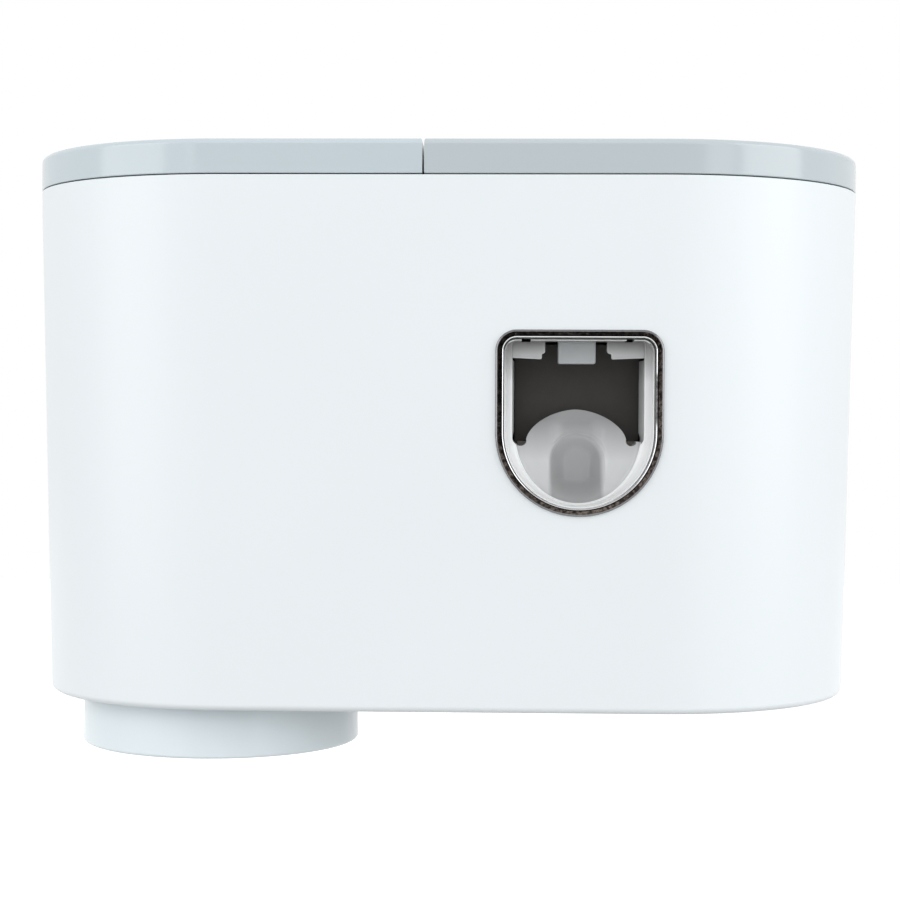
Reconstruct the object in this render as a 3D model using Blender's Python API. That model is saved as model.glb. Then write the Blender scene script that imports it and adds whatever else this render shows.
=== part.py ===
"""Wall-held toothbrush holder with a toothpaste dispenser, a rinse cup and two lids.

The origin is the centre of the adhesive pad's back face, where the holder meets the wall.
+X is to the right for someone who stands in front of it, +Y points into the wall, +Z is up.
Heights named ..._HEIGHT below are measured from the body's bottom edge unless they say otherwise.
"""

import math

import bmesh
import bpy
from mathutils import Vector

mm = 0.001
degree = math.pi / 180
QUARTER_TURN = math.pi / 2
HALF_TURN = math.pi
FULL_TURN = 2 * math.pi

# Common to all pieces
SEAT_GAP = 0.3 * mm
CUT_OVERRUN = 1.0 * mm
SHARP_ANGLE = 35 * degree

# Wall side: pad, plate and hooks
PAD_CENTRE_HEIGHT = 84.0 * mm
PAD_WIDTH = 150.0 * mm
PAD_TALL = 52.0 * mm
PAD_THICKNESS = 1.0 * mm
PLATE_MARGIN = 3.0 * mm
PLATE_THICKNESS = 2.5 * mm
PLATE_CORNER = 6.0 * mm
HOOK_SPACING = 90.0 * mm
HOOK_WIDTH = 14.0 * mm
HOOK_ABOVE_PAD_CENTRE = 10.0 * mm
HOOK_ARM_THICKNESS = 3.0 * mm
HOOK_LIP_TALL = 5.0 * mm
HOOK_LIP_THICKNESS = 2.5 * mm
HOOK_SIDE_CLEARANCE = 0.5 * mm
LIFT_TRAVEL = 6.0 * mm

# Body shell
BODY_WIDTH = 232.0 * mm
BODY_DEPTH = 105.0 * mm
BODY_TALL = 140.5 * mm
FRONT_CORNER_MOST = 58.0 * mm
FRONT_FLAT_HALF = 58.0 * mm
SIDE_DRAFT = 3.1 * mm
FRONT_DRAFT = 1.9 * mm
SHELL_WALL = 2.5 * mm
SHELL_BACK_GAP = 1.0 * mm
BOTTOM_FILLET = 1.8 * mm
LEDGE_REACH = 5.0 * mm
LEDGE_THICKNESS = 2.0 * mm
LEDGE_LENGTH = 20.0 * mm
LEDGE_FROM_CORNER = 2.0 * mm

# Back plate, screws and their bosses
BACK_THICKNESS = 2.5 * mm
BACK_BOTTOM_HEIGHT = 2.0 * mm
SCREW_RADIUS = 1.5 * mm
SCREW_HEAD_RADIUS = 2.8 * mm
SCREW_HEAD_TALL = 1.6 * mm
HOUSING_SCREW_INSET = 13.0 * mm
HOUSING_SCREW_ABOVE_BOTTOM = 18.0 * mm
HOUSING_SCREW_BELOW_RIM = 18.5 * mm
HOUSING_SCREW_LENGTH = 13.0 * mm
HOUSING_BOSS_RADIUS = 4.0 * mm
HOUSING_BOSS_LENGTH = 15.0 * mm
BOSS_WEB_THICKNESS = 3.0 * mm

# Lids and hinges
LID_TALL = 9.1 * mm
LID_WALL = 2.0 * mm
LID_EDGE_RADIUS = 1.5 * mm
LID_JOINT_RADIUS = 0.4 * mm
LID_SPLIT_X = -4.6 * mm
LID_SPLIT_GAP = 0.5 * mm
HINGE_FROM_WALL = 20.0 * mm
KNUCKLE_RADIUS = 3.5 * mm
RAIL_CLEARANCE = 0.6 * mm
LID_BACK_REACH = 1.5 * mm
LID_KNUCKLE_WIDTH = 10.0 * mm
RAIL_KNUCKLE_WIDTH = 5.0 * mm
HINGE_PIN_RADIUS = 1.2 * mm
HINGE_FROM_SIDE = 24.0 * mm
HINGE_FROM_SPLIT = 21.5 * mm
RAIL_TONGUE_FROM_SIDE = 56.0 * mm
RAIL_TONGUE_WIDTH = 12.0 * mm
RAIL_TONGUE_THICKNESS = 1.6 * mm
RAIL_TONGUE_DROP = 7.0 * mm
TUBE_SLOT_WIDTH = 56.0 * mm
TUBE_SLOT_DEPTH = 26.0 * mm

# Left bay: partition, cup deck, magnet, cup and storage tray
PARTITION_THICKNESS = 2.0 * mm
PARTITION_BOTTOM_HEIGHT = 3.6 * mm
CUP_SIDE_CLEARANCE = 13.2 * mm
CUP_FRONT_CLEARANCE = 11.3 * mm
CUP_REAR_CLEARANCE = 15.7 * mm
CUP_BELOW_BODY = 14.3 * mm
CUP_TALL = 85.3 * mm
CUP_TAPER = 1.5 * mm
CUP_WALL = 2.0 * mm
CUP_BASE = 4.5 * mm
CUP_EDGE_RADIUS = 3.0 * mm
CUP_LIP_RADIUS = 0.9 * mm
STEEL_RADIUS = 14.5 * mm
STEEL_THICKNESS = 1.0 * mm
BASE_CAP_THICKNESS = 0.7 * mm
MAGNET_RADIUS = 12.5 * mm
MAGNET_THICKNESS = 2.5 * mm
MAGNET_FLOOR = 0.6 * mm
MAGNET_BOSS_WALL = 2.5 * mm
DECK_THICKNESS = 2.4 * mm
TRAY_INSET = 5.5 * mm
TRAY_WALL = 1.6 * mm
TRAY_BELOW_RIM = 5.2 * mm
TRAY_REAR_CLEARANCE = 1.5 * mm
TRAY_CORNER_GAP = 1.2 * mm

# Right bay: brush rack and bottom cover
RACK_HEIGHT = 100.0 * mm
RACK_THICKNESS = 2.5 * mm
RACK_FROM_WINDOW = 26.0 * mm
RACK_HOLE_RADIUS = 9.0 * mm
RACK_NECK_WIDTH = 6.5 * mm
RACK_NECK_REACH = 18.0 * mm
RACK_COLUMN_FROM_EDGE = 12.5 * mm
RACK_COLUMN_SPACING = 20.0 * mm
RACK_ROW_FROM_WALL = 27.0 * mm
RACK_ROW_SPACING = 35.0 * mm
RACK_BORDER = 4.0 * mm
COVER_HEIGHT = 1.0 * mm
COVER_THICKNESS = 2.0 * mm
COVER_UNDER_RACK = 3.5 * mm

# Dispenser window
WINDOW_FROM_SPLIT = 41.1 * mm
WINDOW_ROUND_HEIGHT = 73.4 * mm
WINDOW_TOP_HEIGHT = 100.6 * mm
TRIM_HALF_WIDTH = 22.15 * mm
TRIM_CORNER_RADIUS = 5.5 * mm
TRIM_WIDTH = 2.1 * mm
TRIM_PROUD = 0.8 * mm
TRIM_DEPTH = 3.3 * mm
TRIM_EDGE_RADIUS = 0.5 * mm
BEZEL_SETBACK = 4.1 * mm
BEZEL_FLANGE = 5.0 * mm
BEZEL_FLANGE_BORDER = 4.9 * mm
BEZEL_MOUTH_HALF = 19.6 * mm
BEZEL_THROAT_HALF = 17.3 * mm
BEZEL_CORNER_RADIUS = 2.5 * mm
BEZEL_TOP_BELOW_TRIM = 2.55 * mm
BEZEL_FUNNEL_DEPTH = 8.0 * mm
BEZEL_DEPTH = 23.0 * mm
BEZEL_WALL = 1.5 * mm
BEZEL_TOP_CUT = 6.0 * mm

# Pusher and press plate
PUSHER_TRAVEL = 12.0 * mm
PUSHER_CLEARANCE = 0.4 * mm
PUSHER_DEPTH = 19.0 * mm
PUSHER_SIDE_TOP_HEIGHT = 70.0 * mm
PUSHER_ARCH_HALF = 13.7 * mm
PUSHER_ARCH_TALL = 9.8 * mm
PUSHER_BOWL_RIM = 0.5 * mm
PUSHER_BOWL_DEPTH = 15.0 * mm
PUSHER_NICHE_HALF = 7.6 * mm
PUSHER_NICHE_DEPTH = 17.0 * mm
PUSHER_NICHE_FLOOR = 2.2 * mm
PUSHER_NICHE_CORNER = 3.0 * mm
PRESS_THICKNESS = 2.0 * mm
PRESS_TOP_HEIGHT = 97.4 * mm
SLEEVE_RADIUS = 3.2 * mm
SLEEVE_LENGTH = 8.0 * mm
GUIDE_RADIUS = 1.6 * mm
GUIDE_ENGAGED = 4.0 * mm
GUIDE_SPACING = 23.0 * mm
GUIDE_HEIGHT = 66.0 * mm
SPRING_RADIUS = 4.4 * mm
SPRING_WIRE_RADIUS = 0.4 * mm
SPRING_TURNS = 6

# Dispenser case, cover and paste path
CASE_HALF_WIDTH = 22.0 * mm
CASE_WALL = 1.8 * mm
CASE_BOTTOM_HEIGHT = 50.6 * mm
CASE_FLANGE_HALF = 24.0 * mm
CASE_FLANGE_THICKNESS = 1.8 * mm
CASE_FLANGE_MARGIN = 4.0 * mm
CASE_LENGTH = 45.4 * mm
CASE_SCREW_X = 17.0 * mm
CASE_SCREW_HEIGHTS = (43.5 * mm, 112.5 * mm)
CASE_BOSS_RADIUS = 3.5 * mm
CASE_SCREW_LENGTH = 4.5 * mm
CASE_COVER_THICKNESS = 2.0 * mm
CHANNEL_HEIGHT = 98.9 * mm
CHANNEL_TALL = 7.0 * mm
CHANNEL_HALF_WIDTH = 7.0 * mm
CHANNEL_FRONT_MARGIN = 1.0 * mm
CHANNEL_BORE_TALL = 2.0 * mm
CHANNEL_BORE_HALF = 2.0 * mm
CHANNEL_WING_HALF = 17.0 * mm
CHANNEL_WING_THICKNESS = 1.8 * mm
CHANNEL_WING_DEPTH = 10.0 * mm
TAB_DEPTH = 2.5 * mm
TAB_BOTTOM_HEIGHT = 93.2 * mm
TAB_WIDTH = 8.6 * mm
TAB_STEP = 1.2 * mm
NOZZLE_HALF_WIDTH = 5.2 * mm
NOZZLE_DEPTH = 6.0 * mm
NOZZLE_BOTTOM_HEIGHT = 91.8 * mm
NOZZLE_BORE_RADIUS = 2.5 * mm
NOZZLE_LIP_RADIUS = 1.6 * mm
NOZZLE_LIP_TALL = 1.2 * mm
VALVE_TALL = 2.4 * mm
VALVE_SLIT_RADIUS = 0.8 * mm
PUMP_BEHIND_BEZEL = 40.3 * mm
PUMP_RADIUS = 9.8 * mm
PUMP_TALL = 17.0 * mm
PUMP_WALL = 1.5 * mm
PUMP_NECK_RADIUS = 4.3 * mm
PUMP_NECK_TALL = 1.8 * mm
INLET_RADIUS = 3.7 * mm
INLET_THICKNESS = 1.7 * mm
ADAPTER_RADIUS = 8.0 * mm
ADAPTER_WALL = 1.8 * mm
ADAPTER_TALL = 15.0 * mm
ADAPTER_FLOOR = 1.5 * mm
ADAPTER_FLANGE_RADIUS = 11.0 * mm
ADAPTER_FLANGE_THICKNESS = 1.5 * mm
ADAPTER_PORT_RADIUS = 2.5 * mm
SEAL_THICKNESS = 1.5 * mm

# How finely round shapes are divided
CORNER_STEPS = 12
SMALL_STEPS = 4
ARCH_STEPS = 12
CUP_SIDES = 48
ROUND_SIDES = 24
SCREW_SIDES = 12
COIL_POINTS = 9
PUMP_SIDES = 18

# Heights and depths that follow from the sizes above
BOTTOM = -PAD_CENTRE_HEIGHT
RIM = BOTTOM + BODY_TALL
FRONT_CORNER_RADIUS = min(FRONT_CORNER_MOST, BODY_WIDTH / 2 - FRONT_FLAT_HALF)
LID_BOTTOM = RIM + SEAT_GAP
LID_TOP = LID_BOTTOM + LID_TALL
PLATE_REAR = -(PAD_THICKNESS + SEAT_GAP)
PLATE_FRONT = PLATE_REAR - PLATE_THICKNESS
BACK_REAR = PLATE_FRONT - SEAT_GAP
BACK_FRONT = BACK_REAR - BACK_THICKNESS
INSIDE_REAR = BACK_FRONT - SEAT_GAP
HINGE_Y = -HINGE_FROM_WALL
HINGE_Z = LID_TOP - KNUCKLE_RADIUS
RAIL_FRONT = HINGE_Y + KNUCKLE_RADIUS + RAIL_CLEARANCE
LID_REAR = HINGE_Y + LID_BACK_REACH
LEFT_HINGE_X = (HINGE_FROM_SIDE - BODY_WIDTH / 2, LID_SPLIT_X - HINGE_FROM_SPLIT)
RIGHT_HINGE_X = (LID_SPLIT_X + HINGE_FROM_SPLIT, BODY_WIDTH / 2 - HINGE_FROM_SIDE)
RAIL_TONGUE_X = (RAIL_TONGUE_FROM_SIDE - BODY_WIDTH / 2, 0.0, BODY_WIDTH / 2 - RAIL_TONGUE_FROM_SIDE)
HOUSING_SCREW_X = BODY_WIDTH / 2 - HOUSING_SCREW_INSET
HOUSING_SCREW_Z = (BOTTOM + HOUSING_SCREW_ABOVE_BOTTOM, RIM - HOUSING_SCREW_BELOW_RIM)
FRONT_LEDGE_X = FRONT_CORNER_RADIUS + LEDGE_LENGTH / 2 + LEDGE_FROM_CORNER - BODY_WIDTH / 2
PARTITION_LEFT = LID_SPLIT_X - PARTITION_THICKNESS / 2
PARTITION_RIGHT = LID_SPLIT_X + PARTITION_THICKNESS / 2
CUP_RADIUS = (BODY_DEPTH - CUP_FRONT_CLEARANCE - CUP_REAR_CLEARANCE) / 2
CUP_X = CUP_RADIUS + CUP_SIDE_CLEARANCE - BODY_WIDTH / 2
CUP_Y = -(CUP_RADIUS + CUP_REAR_CLEARANCE)
CUP_BOTTOM = BOTTOM - CUP_BELOW_BODY
CUP_TOP = CUP_BOTTOM + CUP_TALL
DECK_BOSS_BOTTOM = CUP_TOP + SEAT_GAP
MAGNET_BOTTOM = DECK_BOSS_BOTTOM + MAGNET_FLOOR + SEAT_GAP
DECK_TOP = MAGNET_BOTTOM + MAGNET_THICKNESS + SEAT_GAP
DECK_BOTTOM = DECK_TOP - DECK_THICKNESS
TRAY_BOTTOM = DECK_TOP + SEAT_GAP
TRAY_TOP = RIM - TRAY_BELOW_RIM
WINDOW_X = LID_SPLIT_X + WINDOW_FROM_SPLIT
RACK_LEFT_X = WINDOW_X + RACK_FROM_WINDOW
COVER_RIGHT_X = RACK_LEFT_X + COVER_UNDER_RACK
WINDOW_ROUND = BOTTOM + WINDOW_ROUND_HEIGHT
WINDOW_TOP = BOTTOM + WINDOW_TOP_HEIGHT
BEZEL_TOP = WINDOW_TOP - BEZEL_TOP_BELOW_TRIM
BEZEL_FRONT_Y = BEZEL_SETBACK - BODY_DEPTH
BEZEL_FLANGE_REAR = BEZEL_FRONT_Y + BEZEL_FLANGE
BEZEL_REAR = BEZEL_FRONT_Y + BEZEL_DEPTH
THROAT_FRONT = BEZEL_FRONT_Y + BEZEL_FUNNEL_DEPTH
PUSHER_HALF = BEZEL_THROAT_HALF - PUSHER_CLEARANCE
PUSHER_REAR = THROAT_FRONT + PUSHER_DEPTH
PRESS_FRONT = PUSHER_REAR + SEAT_GAP
PRESS_REAR = PRESS_FRONT + PRESS_THICKNESS
CASE_FRONT = BEZEL_FLANGE_REAR + SEAT_GAP
CASE_REAR = CASE_FRONT + CASE_LENGTH
CASE_COVER_FRONT = CASE_REAR + SEAT_GAP
CASE_COVER_REAR = CASE_COVER_FRONT + CASE_COVER_THICKNESS
CHANNEL_BOTTOM = BOTTOM + CHANNEL_HEIGHT
CHANNEL_TOP = CHANNEL_BOTTOM + CHANNEL_TALL
CHANNEL_BORE_BOTTOM = CHANNEL_BOTTOM + (CHANNEL_TALL - CHANNEL_BORE_TALL) / 2
CHANNEL_BORE_TOP = CHANNEL_BORE_BOTTOM + CHANNEL_BORE_TALL
CASE_TOP_INSIDE = CHANNEL_TOP + SEAT_GAP
CASE_TOP = CASE_TOP_INSIDE + CASE_WALL
CASE_BOTTOM = BOTTOM + CASE_BOTTOM_HEIGHT
TAB_FRONT = THROAT_FRONT + SEAT_GAP
NOZZLE_FRONT = TAB_FRONT + CHANNEL_FRONT_MARGIN
NOZZLE_Y = NOZZLE_FRONT + NOZZLE_DEPTH / 2
PUMP_Y = BEZEL_FRONT_Y + PUMP_BEHIND_BEZEL
ADAPTER_TOP = CASE_TOP_INSIDE + ADAPTER_TALL

# Colour, roughness and metallic value of each finish
FINISHES = {
    "white": ((0.86, 0.89, 0.91), 0.30, 0.0),
    "lid_grey": ((0.53, 0.60, 0.63), 0.35, 0.0),
    "chrome": ((0.80, 0.80, 0.81), 0.08, 1.0),
    "bezel_white": ((0.78, 0.80, 0.81), 0.30, 0.0),
    "pusher_white": ((0.62, 0.65, 0.66), 0.28, 0.0),
    "nozzle_grey": ((0.36, 0.38, 0.39), 0.45, 0.0),
    "charcoal": ((0.035, 0.034, 0.032), 0.55, 0.0),
    "inner_white": ((0.75, 0.77, 0.78), 0.45, 0.0),
    "silicone": ((0.62, 0.64, 0.62), 0.60, 0.0),
    "steel": ((0.60, 0.61, 0.62), 0.25, 1.0),
    "magnet": ((0.20, 0.20, 0.21), 0.40, 1.0),
    "pad": ((0.55, 0.57, 0.58), 0.70, 0.0),
}


def clear_scene():
    for existing in list(bpy.data.objects):
        bpy.data.objects.remove(existing, do_unlink=True)


def material(name, finish):
    """A Principled material of its own for one sub-part."""
    colour, roughness, metallic = FINISHES[finish]
    made = bpy.data.materials.new(name)
    made.use_nodes = True
    shader = made.node_tree.nodes["Principled BSDF"]
    shader.inputs["Base Color"].default_value = (*colour, 1.0)
    shader.inputs["Roughness"].default_value = roughness
    shader.inputs["Metallic"].default_value = metallic
    return made


def solid(name, shape, finish=None, origin=(0.0, 0.0, 0.0)):
    """Makes an object of a bmesh in world coordinates, with its own origin at the given point."""
    bmesh.ops.recalc_face_normals(shape, faces=shape.faces)
    bmesh.ops.translate(shape, verts=shape.verts, vec=-Vector(origin))
    mesh = bpy.data.meshes.new(name)
    shape.to_mesh(mesh)
    shape.free()
    mesh.shade_smooth()
    mesh.set_sharp_from_angle(angle=SHARP_ANGLE)
    made = bpy.data.objects.new(name, mesh)
    made.location = origin
    bpy.context.scene.collection.objects.link(made)
    if finish:
        mesh.materials.append(material(name, finish))
    return made


def boolean(target, operation, shapes):
    """Joins helper shapes to the target, or cuts them out of it. The helpers stay as wires."""
    group = bpy.data.collections.new(f"{target.name} {operation.lower()}")
    bpy.context.scene.collection.children.link(group)
    for number, shape in enumerate(shapes):
        helper = solid(f"{target.name} {operation.lower()} {number}", shape)
        helper.hide_render = True
        helper.display_type = "WIRE"
        bpy.context.scene.collection.objects.unlink(helper)
        group.objects.link(helper)
    modifier = target.modifiers.new(operation.title(), "BOOLEAN")
    modifier.operation = operation
    modifier.operand_type = "COLLECTION"
    modifier.collection = group
    modifier.solver = "EXACT"
    return target


def join(target, shapes):
    return boolean(target, "UNION", shapes)


def cut(target, shapes):
    return boolean(target, "DIFFERENCE", shapes)


def loft(rings, endless=False):
    """Skins rings of equally many points. The end rings are filled unless the skin is endless."""
    shape = bmesh.new()
    loops = [[shape.verts.new(point) for point in ring] for ring in rings]
    pairs = list(zip(loops, loops[1:]))
    if endless:
        pairs.append((loops[-1], loops[0]))
    else:
        shape.faces.new(loops[0])
        shape.faces.new(loops[-1])
    for near, far in pairs:
        for i in range(len(near)):
            j = (i + 1) % len(near)
            shape.faces.new((near[i], near[j], far[j], far[i]))
    return shape


def at(axis, along, outline):
    """Sets a flat outline square to an axis: (y, z) for x, (x, z) for y and (x, y) for z."""
    if axis == "x":
        return [(along, u, v) for u, v in outline]
    if axis == "y":
        return [(u, along, v) for u, v in outline]
    return [(u, v, along) for u, v in outline]


def prism(axis, start, end, outline):
    """Extrudes a flat outline along an axis."""
    shape = bmesh.new()
    face = shape.faces.new([shape.verts.new(point) for point in at(axis, start, outline)])
    grown = bmesh.ops.extrude_face_region(shape, geom=[face])["geom"]
    moved = [item for item in grown if isinstance(item, bmesh.types.BMVert)]
    shift = Vector(at(axis, end - start, [(0.0, 0.0)])[0])
    bmesh.ops.translate(shape, verts=moved, vec=shift)
    return shape


def rectangle(u_low, u_high, v_low, v_high):
    return [(u_low, v_low), (u_high, v_low), (u_high, v_high), (u_low, v_high)]


def box(x_low, x_high, y_low, y_high, z_low, z_high):
    return prism("z", z_low, z_high, rectangle(x_low, x_high, y_low, y_high))


def arc(centre, radius, start, end, steps):
    """Points on a circle's arc, both ends included, with angles from the first axis to the second."""
    angles = [start + (end - start) * i / steps for i in range(steps + 1)]
    return [(centre[0] + radius * math.cos(a), centre[1] + radius * math.sin(a)) for a in angles]


def rounded_rectangle(u_low, u_high, v_low, v_high, radius, steps=SMALL_STEPS):
    corners = (
        (u_high - radius, v_high - radius),
        (u_low + radius, v_high - radius),
        (u_low + radius, v_low + radius),
        (u_high - radius, v_low + radius),
    )
    points = []
    for turn, centre in enumerate(corners):
        points += arc(centre, radius, turn * QUARTER_TURN, (turn + 1) * QUARTER_TURN, steps)
    return points


def circle(centre, radius, sides):
    return arc(centre, radius, 0, FULL_TURN * (1 - 1 / sides), sides - 1)


def turned(axis, centre, profile, sides=ROUND_SIDES, endless=False):
    """Turns a profile of (radius, place along the axis) about an axis through a flat centre."""
    rings = [at(axis, along, circle(centre, radius, sides)) for radius, along in profile]
    return loft(rings, endless)


def rod(axis, centre, radius, start, end, sides=SCREW_SIDES):
    return turned(axis, centre, [(radius, start), (radius, end)], sides)


def draft_share(z):
    """0 at the rim and 1 at the body's bottom edge."""
    return (RIM - min(z, RIM)) / BODY_TALL


def plan(z, inset):
    """Half width, front depth and corner radius of the body's plan at a height."""
    share = draft_share(z)
    half = BODY_WIDTH / 2 - SIDE_DRAFT * share - inset
    front = BODY_DEPTH - FRONT_DRAFT * share - inset
    return half, front, FRONT_CORNER_RADIUS - SIDE_DRAFT * share - inset


def side_path(z, inset, rear):
    """The body's plan line from its back left corner round the front to its back right."""
    half, front, radius = plan(z, inset)
    centre = half - radius
    points = [(-half, rear)]
    points += arc((-centre, radius - front), radius, HALF_TURN, 3 * QUARTER_TURN, CORNER_STEPS)
    points += arc((centre, radius - front), radius, 3 * QUARTER_TURN, FULL_TURN, CORNER_STEPS)
    return points + [(half, rear)]


def bay_outline(side, z, inset, inner_x, rear):
    """Plan of a piece that fills one side of the body from inner_x out. side is -1 left, 1 right."""
    half, front, radius = plan(z, inset)
    centre = half - radius
    reach = max(side * inner_x - centre, 0.0)
    start = math.asin(reach / radius)
    points = [] if reach else [(inner_x, -front)]
    for i in range(CORNER_STEPS + 1):
        angle = start + (QUARTER_TURN - start) * i / CORNER_STEPS
        x = side * (centre + radius * math.sin(angle))
        points.append((x, radius - front - radius * math.cos(angle)))
    return points + [(side * half, rear), (inner_x, rear)]


def fillet_steps(radius, steps=SMALL_STEPS):
    """(inset, distance from the edge's face) round a convex edge, from the face to the side."""
    angles = [QUARTER_TURN * i / steps for i in range(steps + 1)]
    return [(radius * (1 - math.sin(a)), radius * (1 - math.cos(a))) for a in angles]


def window_outline(half, top, corner):
    """The dispenser window: a flat top with small corners, straight sides and a half round."""
    points = arc((WINDOW_X + half - corner, top - corner), corner, 0, QUARTER_TURN, SMALL_STEPS)
    points += arc((WINDOW_X - half + corner, top - corner), corner, QUARTER_TURN, HALF_TURN, SMALL_STEPS)
    return points + arc((WINDOW_X, WINDOW_ROUND), half, HALF_TURN, FULL_TURN, 2 * CORNER_STEPS)


def front_face(z):
    """The y of the shell's front face at a height."""
    return -plan(z, 0.0)[1]


def screw(name, centre, head_y, direction, length):
    """A round-headed screw along y. direction is 1 or -1, the way its point faces."""
    head = head_y - direction * SCREW_HEAD_TALL
    profile = [
        (SCREW_HEAD_RADIUS - SCREW_HEAD_TALL / 2, head),
        (SCREW_HEAD_RADIUS, head + direction * SCREW_HEAD_TALL / 2),
        (SCREW_HEAD_RADIUS, head_y),
        (SCREW_RADIUS, head_y),
        (SCREW_RADIUS, head_y + direction * (length - SCREW_RADIUS)),
        (SCREW_RADIUS / 2, head_y + direction * length),
    ]
    shape = turned("y", centre, profile, SCREW_SIDES)
    solid(name, shape, "steel", (centre[0], head_y, centre[1]))


def wall_side():
    """Adhesive pad and wall plate with its two hooks."""
    pad = rounded_rectangle(-PAD_WIDTH / 2, PAD_WIDTH / 2, -PAD_TALL / 2, PAD_TALL / 2, PLATE_CORNER)
    solid("adhesive_pad", prism("y", -PAD_THICKNESS, 0.0, pad), "pad")
    half_width = PAD_WIDTH / 2 + PLATE_MARGIN
    half_tall = PAD_TALL / 2 + PLATE_MARGIN
    outline = rounded_rectangle(-half_width, half_width, -half_tall, half_tall, PLATE_CORNER + PLATE_MARGIN)
    plate = solid("wall_plate", prism("y", PLATE_FRONT, PLATE_REAR, outline), "inner_white")
    arm_low = HOOK_ABOVE_PAD_CENTRE - HOOK_ARM_THICKNESS / 2
    arm_high = HOOK_ABOVE_PAD_CENTRE + HOOK_ARM_THICKNESS / 2
    lip_rear = INSIDE_REAR
    lip_front = lip_rear - HOOK_LIP_THICKNESS
    profile = [
        ((PLATE_REAR + PLATE_FRONT) / 2, arm_low),
        (lip_front, arm_low),
        (lip_front, arm_high + HOOK_LIP_TALL),
        (lip_rear, arm_high + HOOK_LIP_TALL),
        (lip_rear, arm_high),
        ((PLATE_REAR + PLATE_FRONT) / 2, arm_high),
    ]
    hooks = []
    for side in (-1, 1):
        x = side * HOOK_SPACING / 2
        hooks.append(prism("x", x - HOOK_WIDTH / 2, x + HOOK_WIDTH / 2, profile))
    join(plate, hooks)


def boss_with_web(side, z):
    """A screw boss on the shell's side wall and the web that carries it."""
    rear = INSIDE_REAR
    front = rear - HOUSING_BOSS_LENGTH
    wall = plan(z, SHELL_WALL / 2)[0]
    low, high = sorted((side * HOUSING_SCREW_X, side * wall))
    web = box(low, high, front, rear, z - BOSS_WEB_THICKNESS / 2, z + BOSS_WEB_THICKNESS / 2)
    return [rod("y", (side * HOUSING_SCREW_X, z), HOUSING_BOSS_RADIUS, front, rear), web]


def side_ledge(side, y, top):
    """A small shelf on the shell's side wall."""
    half = plan(top, 0.0)[0]
    low, high = sorted((side * (half - SHELL_WALL / 2), side * (half - SHELL_WALL - LEDGE_REACH)))
    return box(low, high, y - LEDGE_LENGTH / 2, y + LEDGE_LENGTH / 2, top - LEDGE_THICKNESS, top)


def front_ledge(x, top):
    """A small shelf on the inside of the shell's front wall."""
    front = plan(top, 0.0)[1]
    near = -(front - SHELL_WALL / 2)
    far = -(front - SHELL_WALL - LEDGE_REACH)
    return box(x - LEDGE_LENGTH / 2, x + LEDGE_LENGTH / 2, near, far, top - LEDGE_THICKNESS, top)


def front_shell():
    """The white front and sides, open behind, above and below, with its bosses and ledges."""
    levels = [(BOTTOM + lift, inset) for inset, lift in fillet_steps(BOTTOM_FILLET)]
    levels.append((RIM, 0.0))
    rings = []
    for z, inset in levels:
        outer = side_path(z, inset, -SHELL_BACK_GAP)
        inner = side_path(z, SHELL_WALL, -SHELL_BACK_GAP)
        rings.append(at("z", z, outer + inner[::-1]))
    shell = solid("front_shell", loft(rings), "white")
    extras = []
    for side in (-1, 1):
        for z in HOUSING_SCREW_Z:
            extras += boss_with_web(side, z)
    deck_ledge = DECK_BOTTOM - SEAT_GAP
    rack_ledge = BOTTOM + RACK_HEIGHT - SEAT_GAP
    extras.append(side_ledge(-1, HINGE_Y - LEDGE_LENGTH / 2, deck_ledge))
    extras.append(front_ledge(FRONT_LEDGE_X, deck_ledge))
    extras.append(side_ledge(1, HINGE_Y - LEDGE_LENGTH / 2, rack_ledge))
    for x, z in case_screw_places():
        near = front_face(z) + SHELL_WALL / 2
        extras.append(rod("y", (x, z), CASE_BOSS_RADIUS, near, BEZEL_FLANGE_REAR))
    join(shell, extras)
    hole = window_outline(TRIM_HALF_WIDTH + SEAT_GAP, WINDOW_TOP + SEAT_GAP, TRIM_CORNER_RADIUS + SEAT_GAP)
    cuts = [prism("y", -BODY_DEPTH - CUT_OVERRUN, BEZEL_FRONT_Y, hole)]
    for side in (-1, 1):
        for z in HOUSING_SCREW_Z:
            centre = (side * HOUSING_SCREW_X, z)
            deep = INSIDE_REAR - HOUSING_SCREW_LENGTH
            cuts.append(rod("y", centre, SCREW_RADIUS + SEAT_GAP, deep, INSIDE_REAR + CUT_OVERRUN))
    for x, z in case_screw_places():
        deep = CASE_FRONT - CASE_SCREW_LENGTH
        cuts.append(rod("y", (x, z), SCREW_RADIUS + SEAT_GAP, deep, CASE_FRONT + CUT_OVERRUN))
    cut(shell, cuts)


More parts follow.
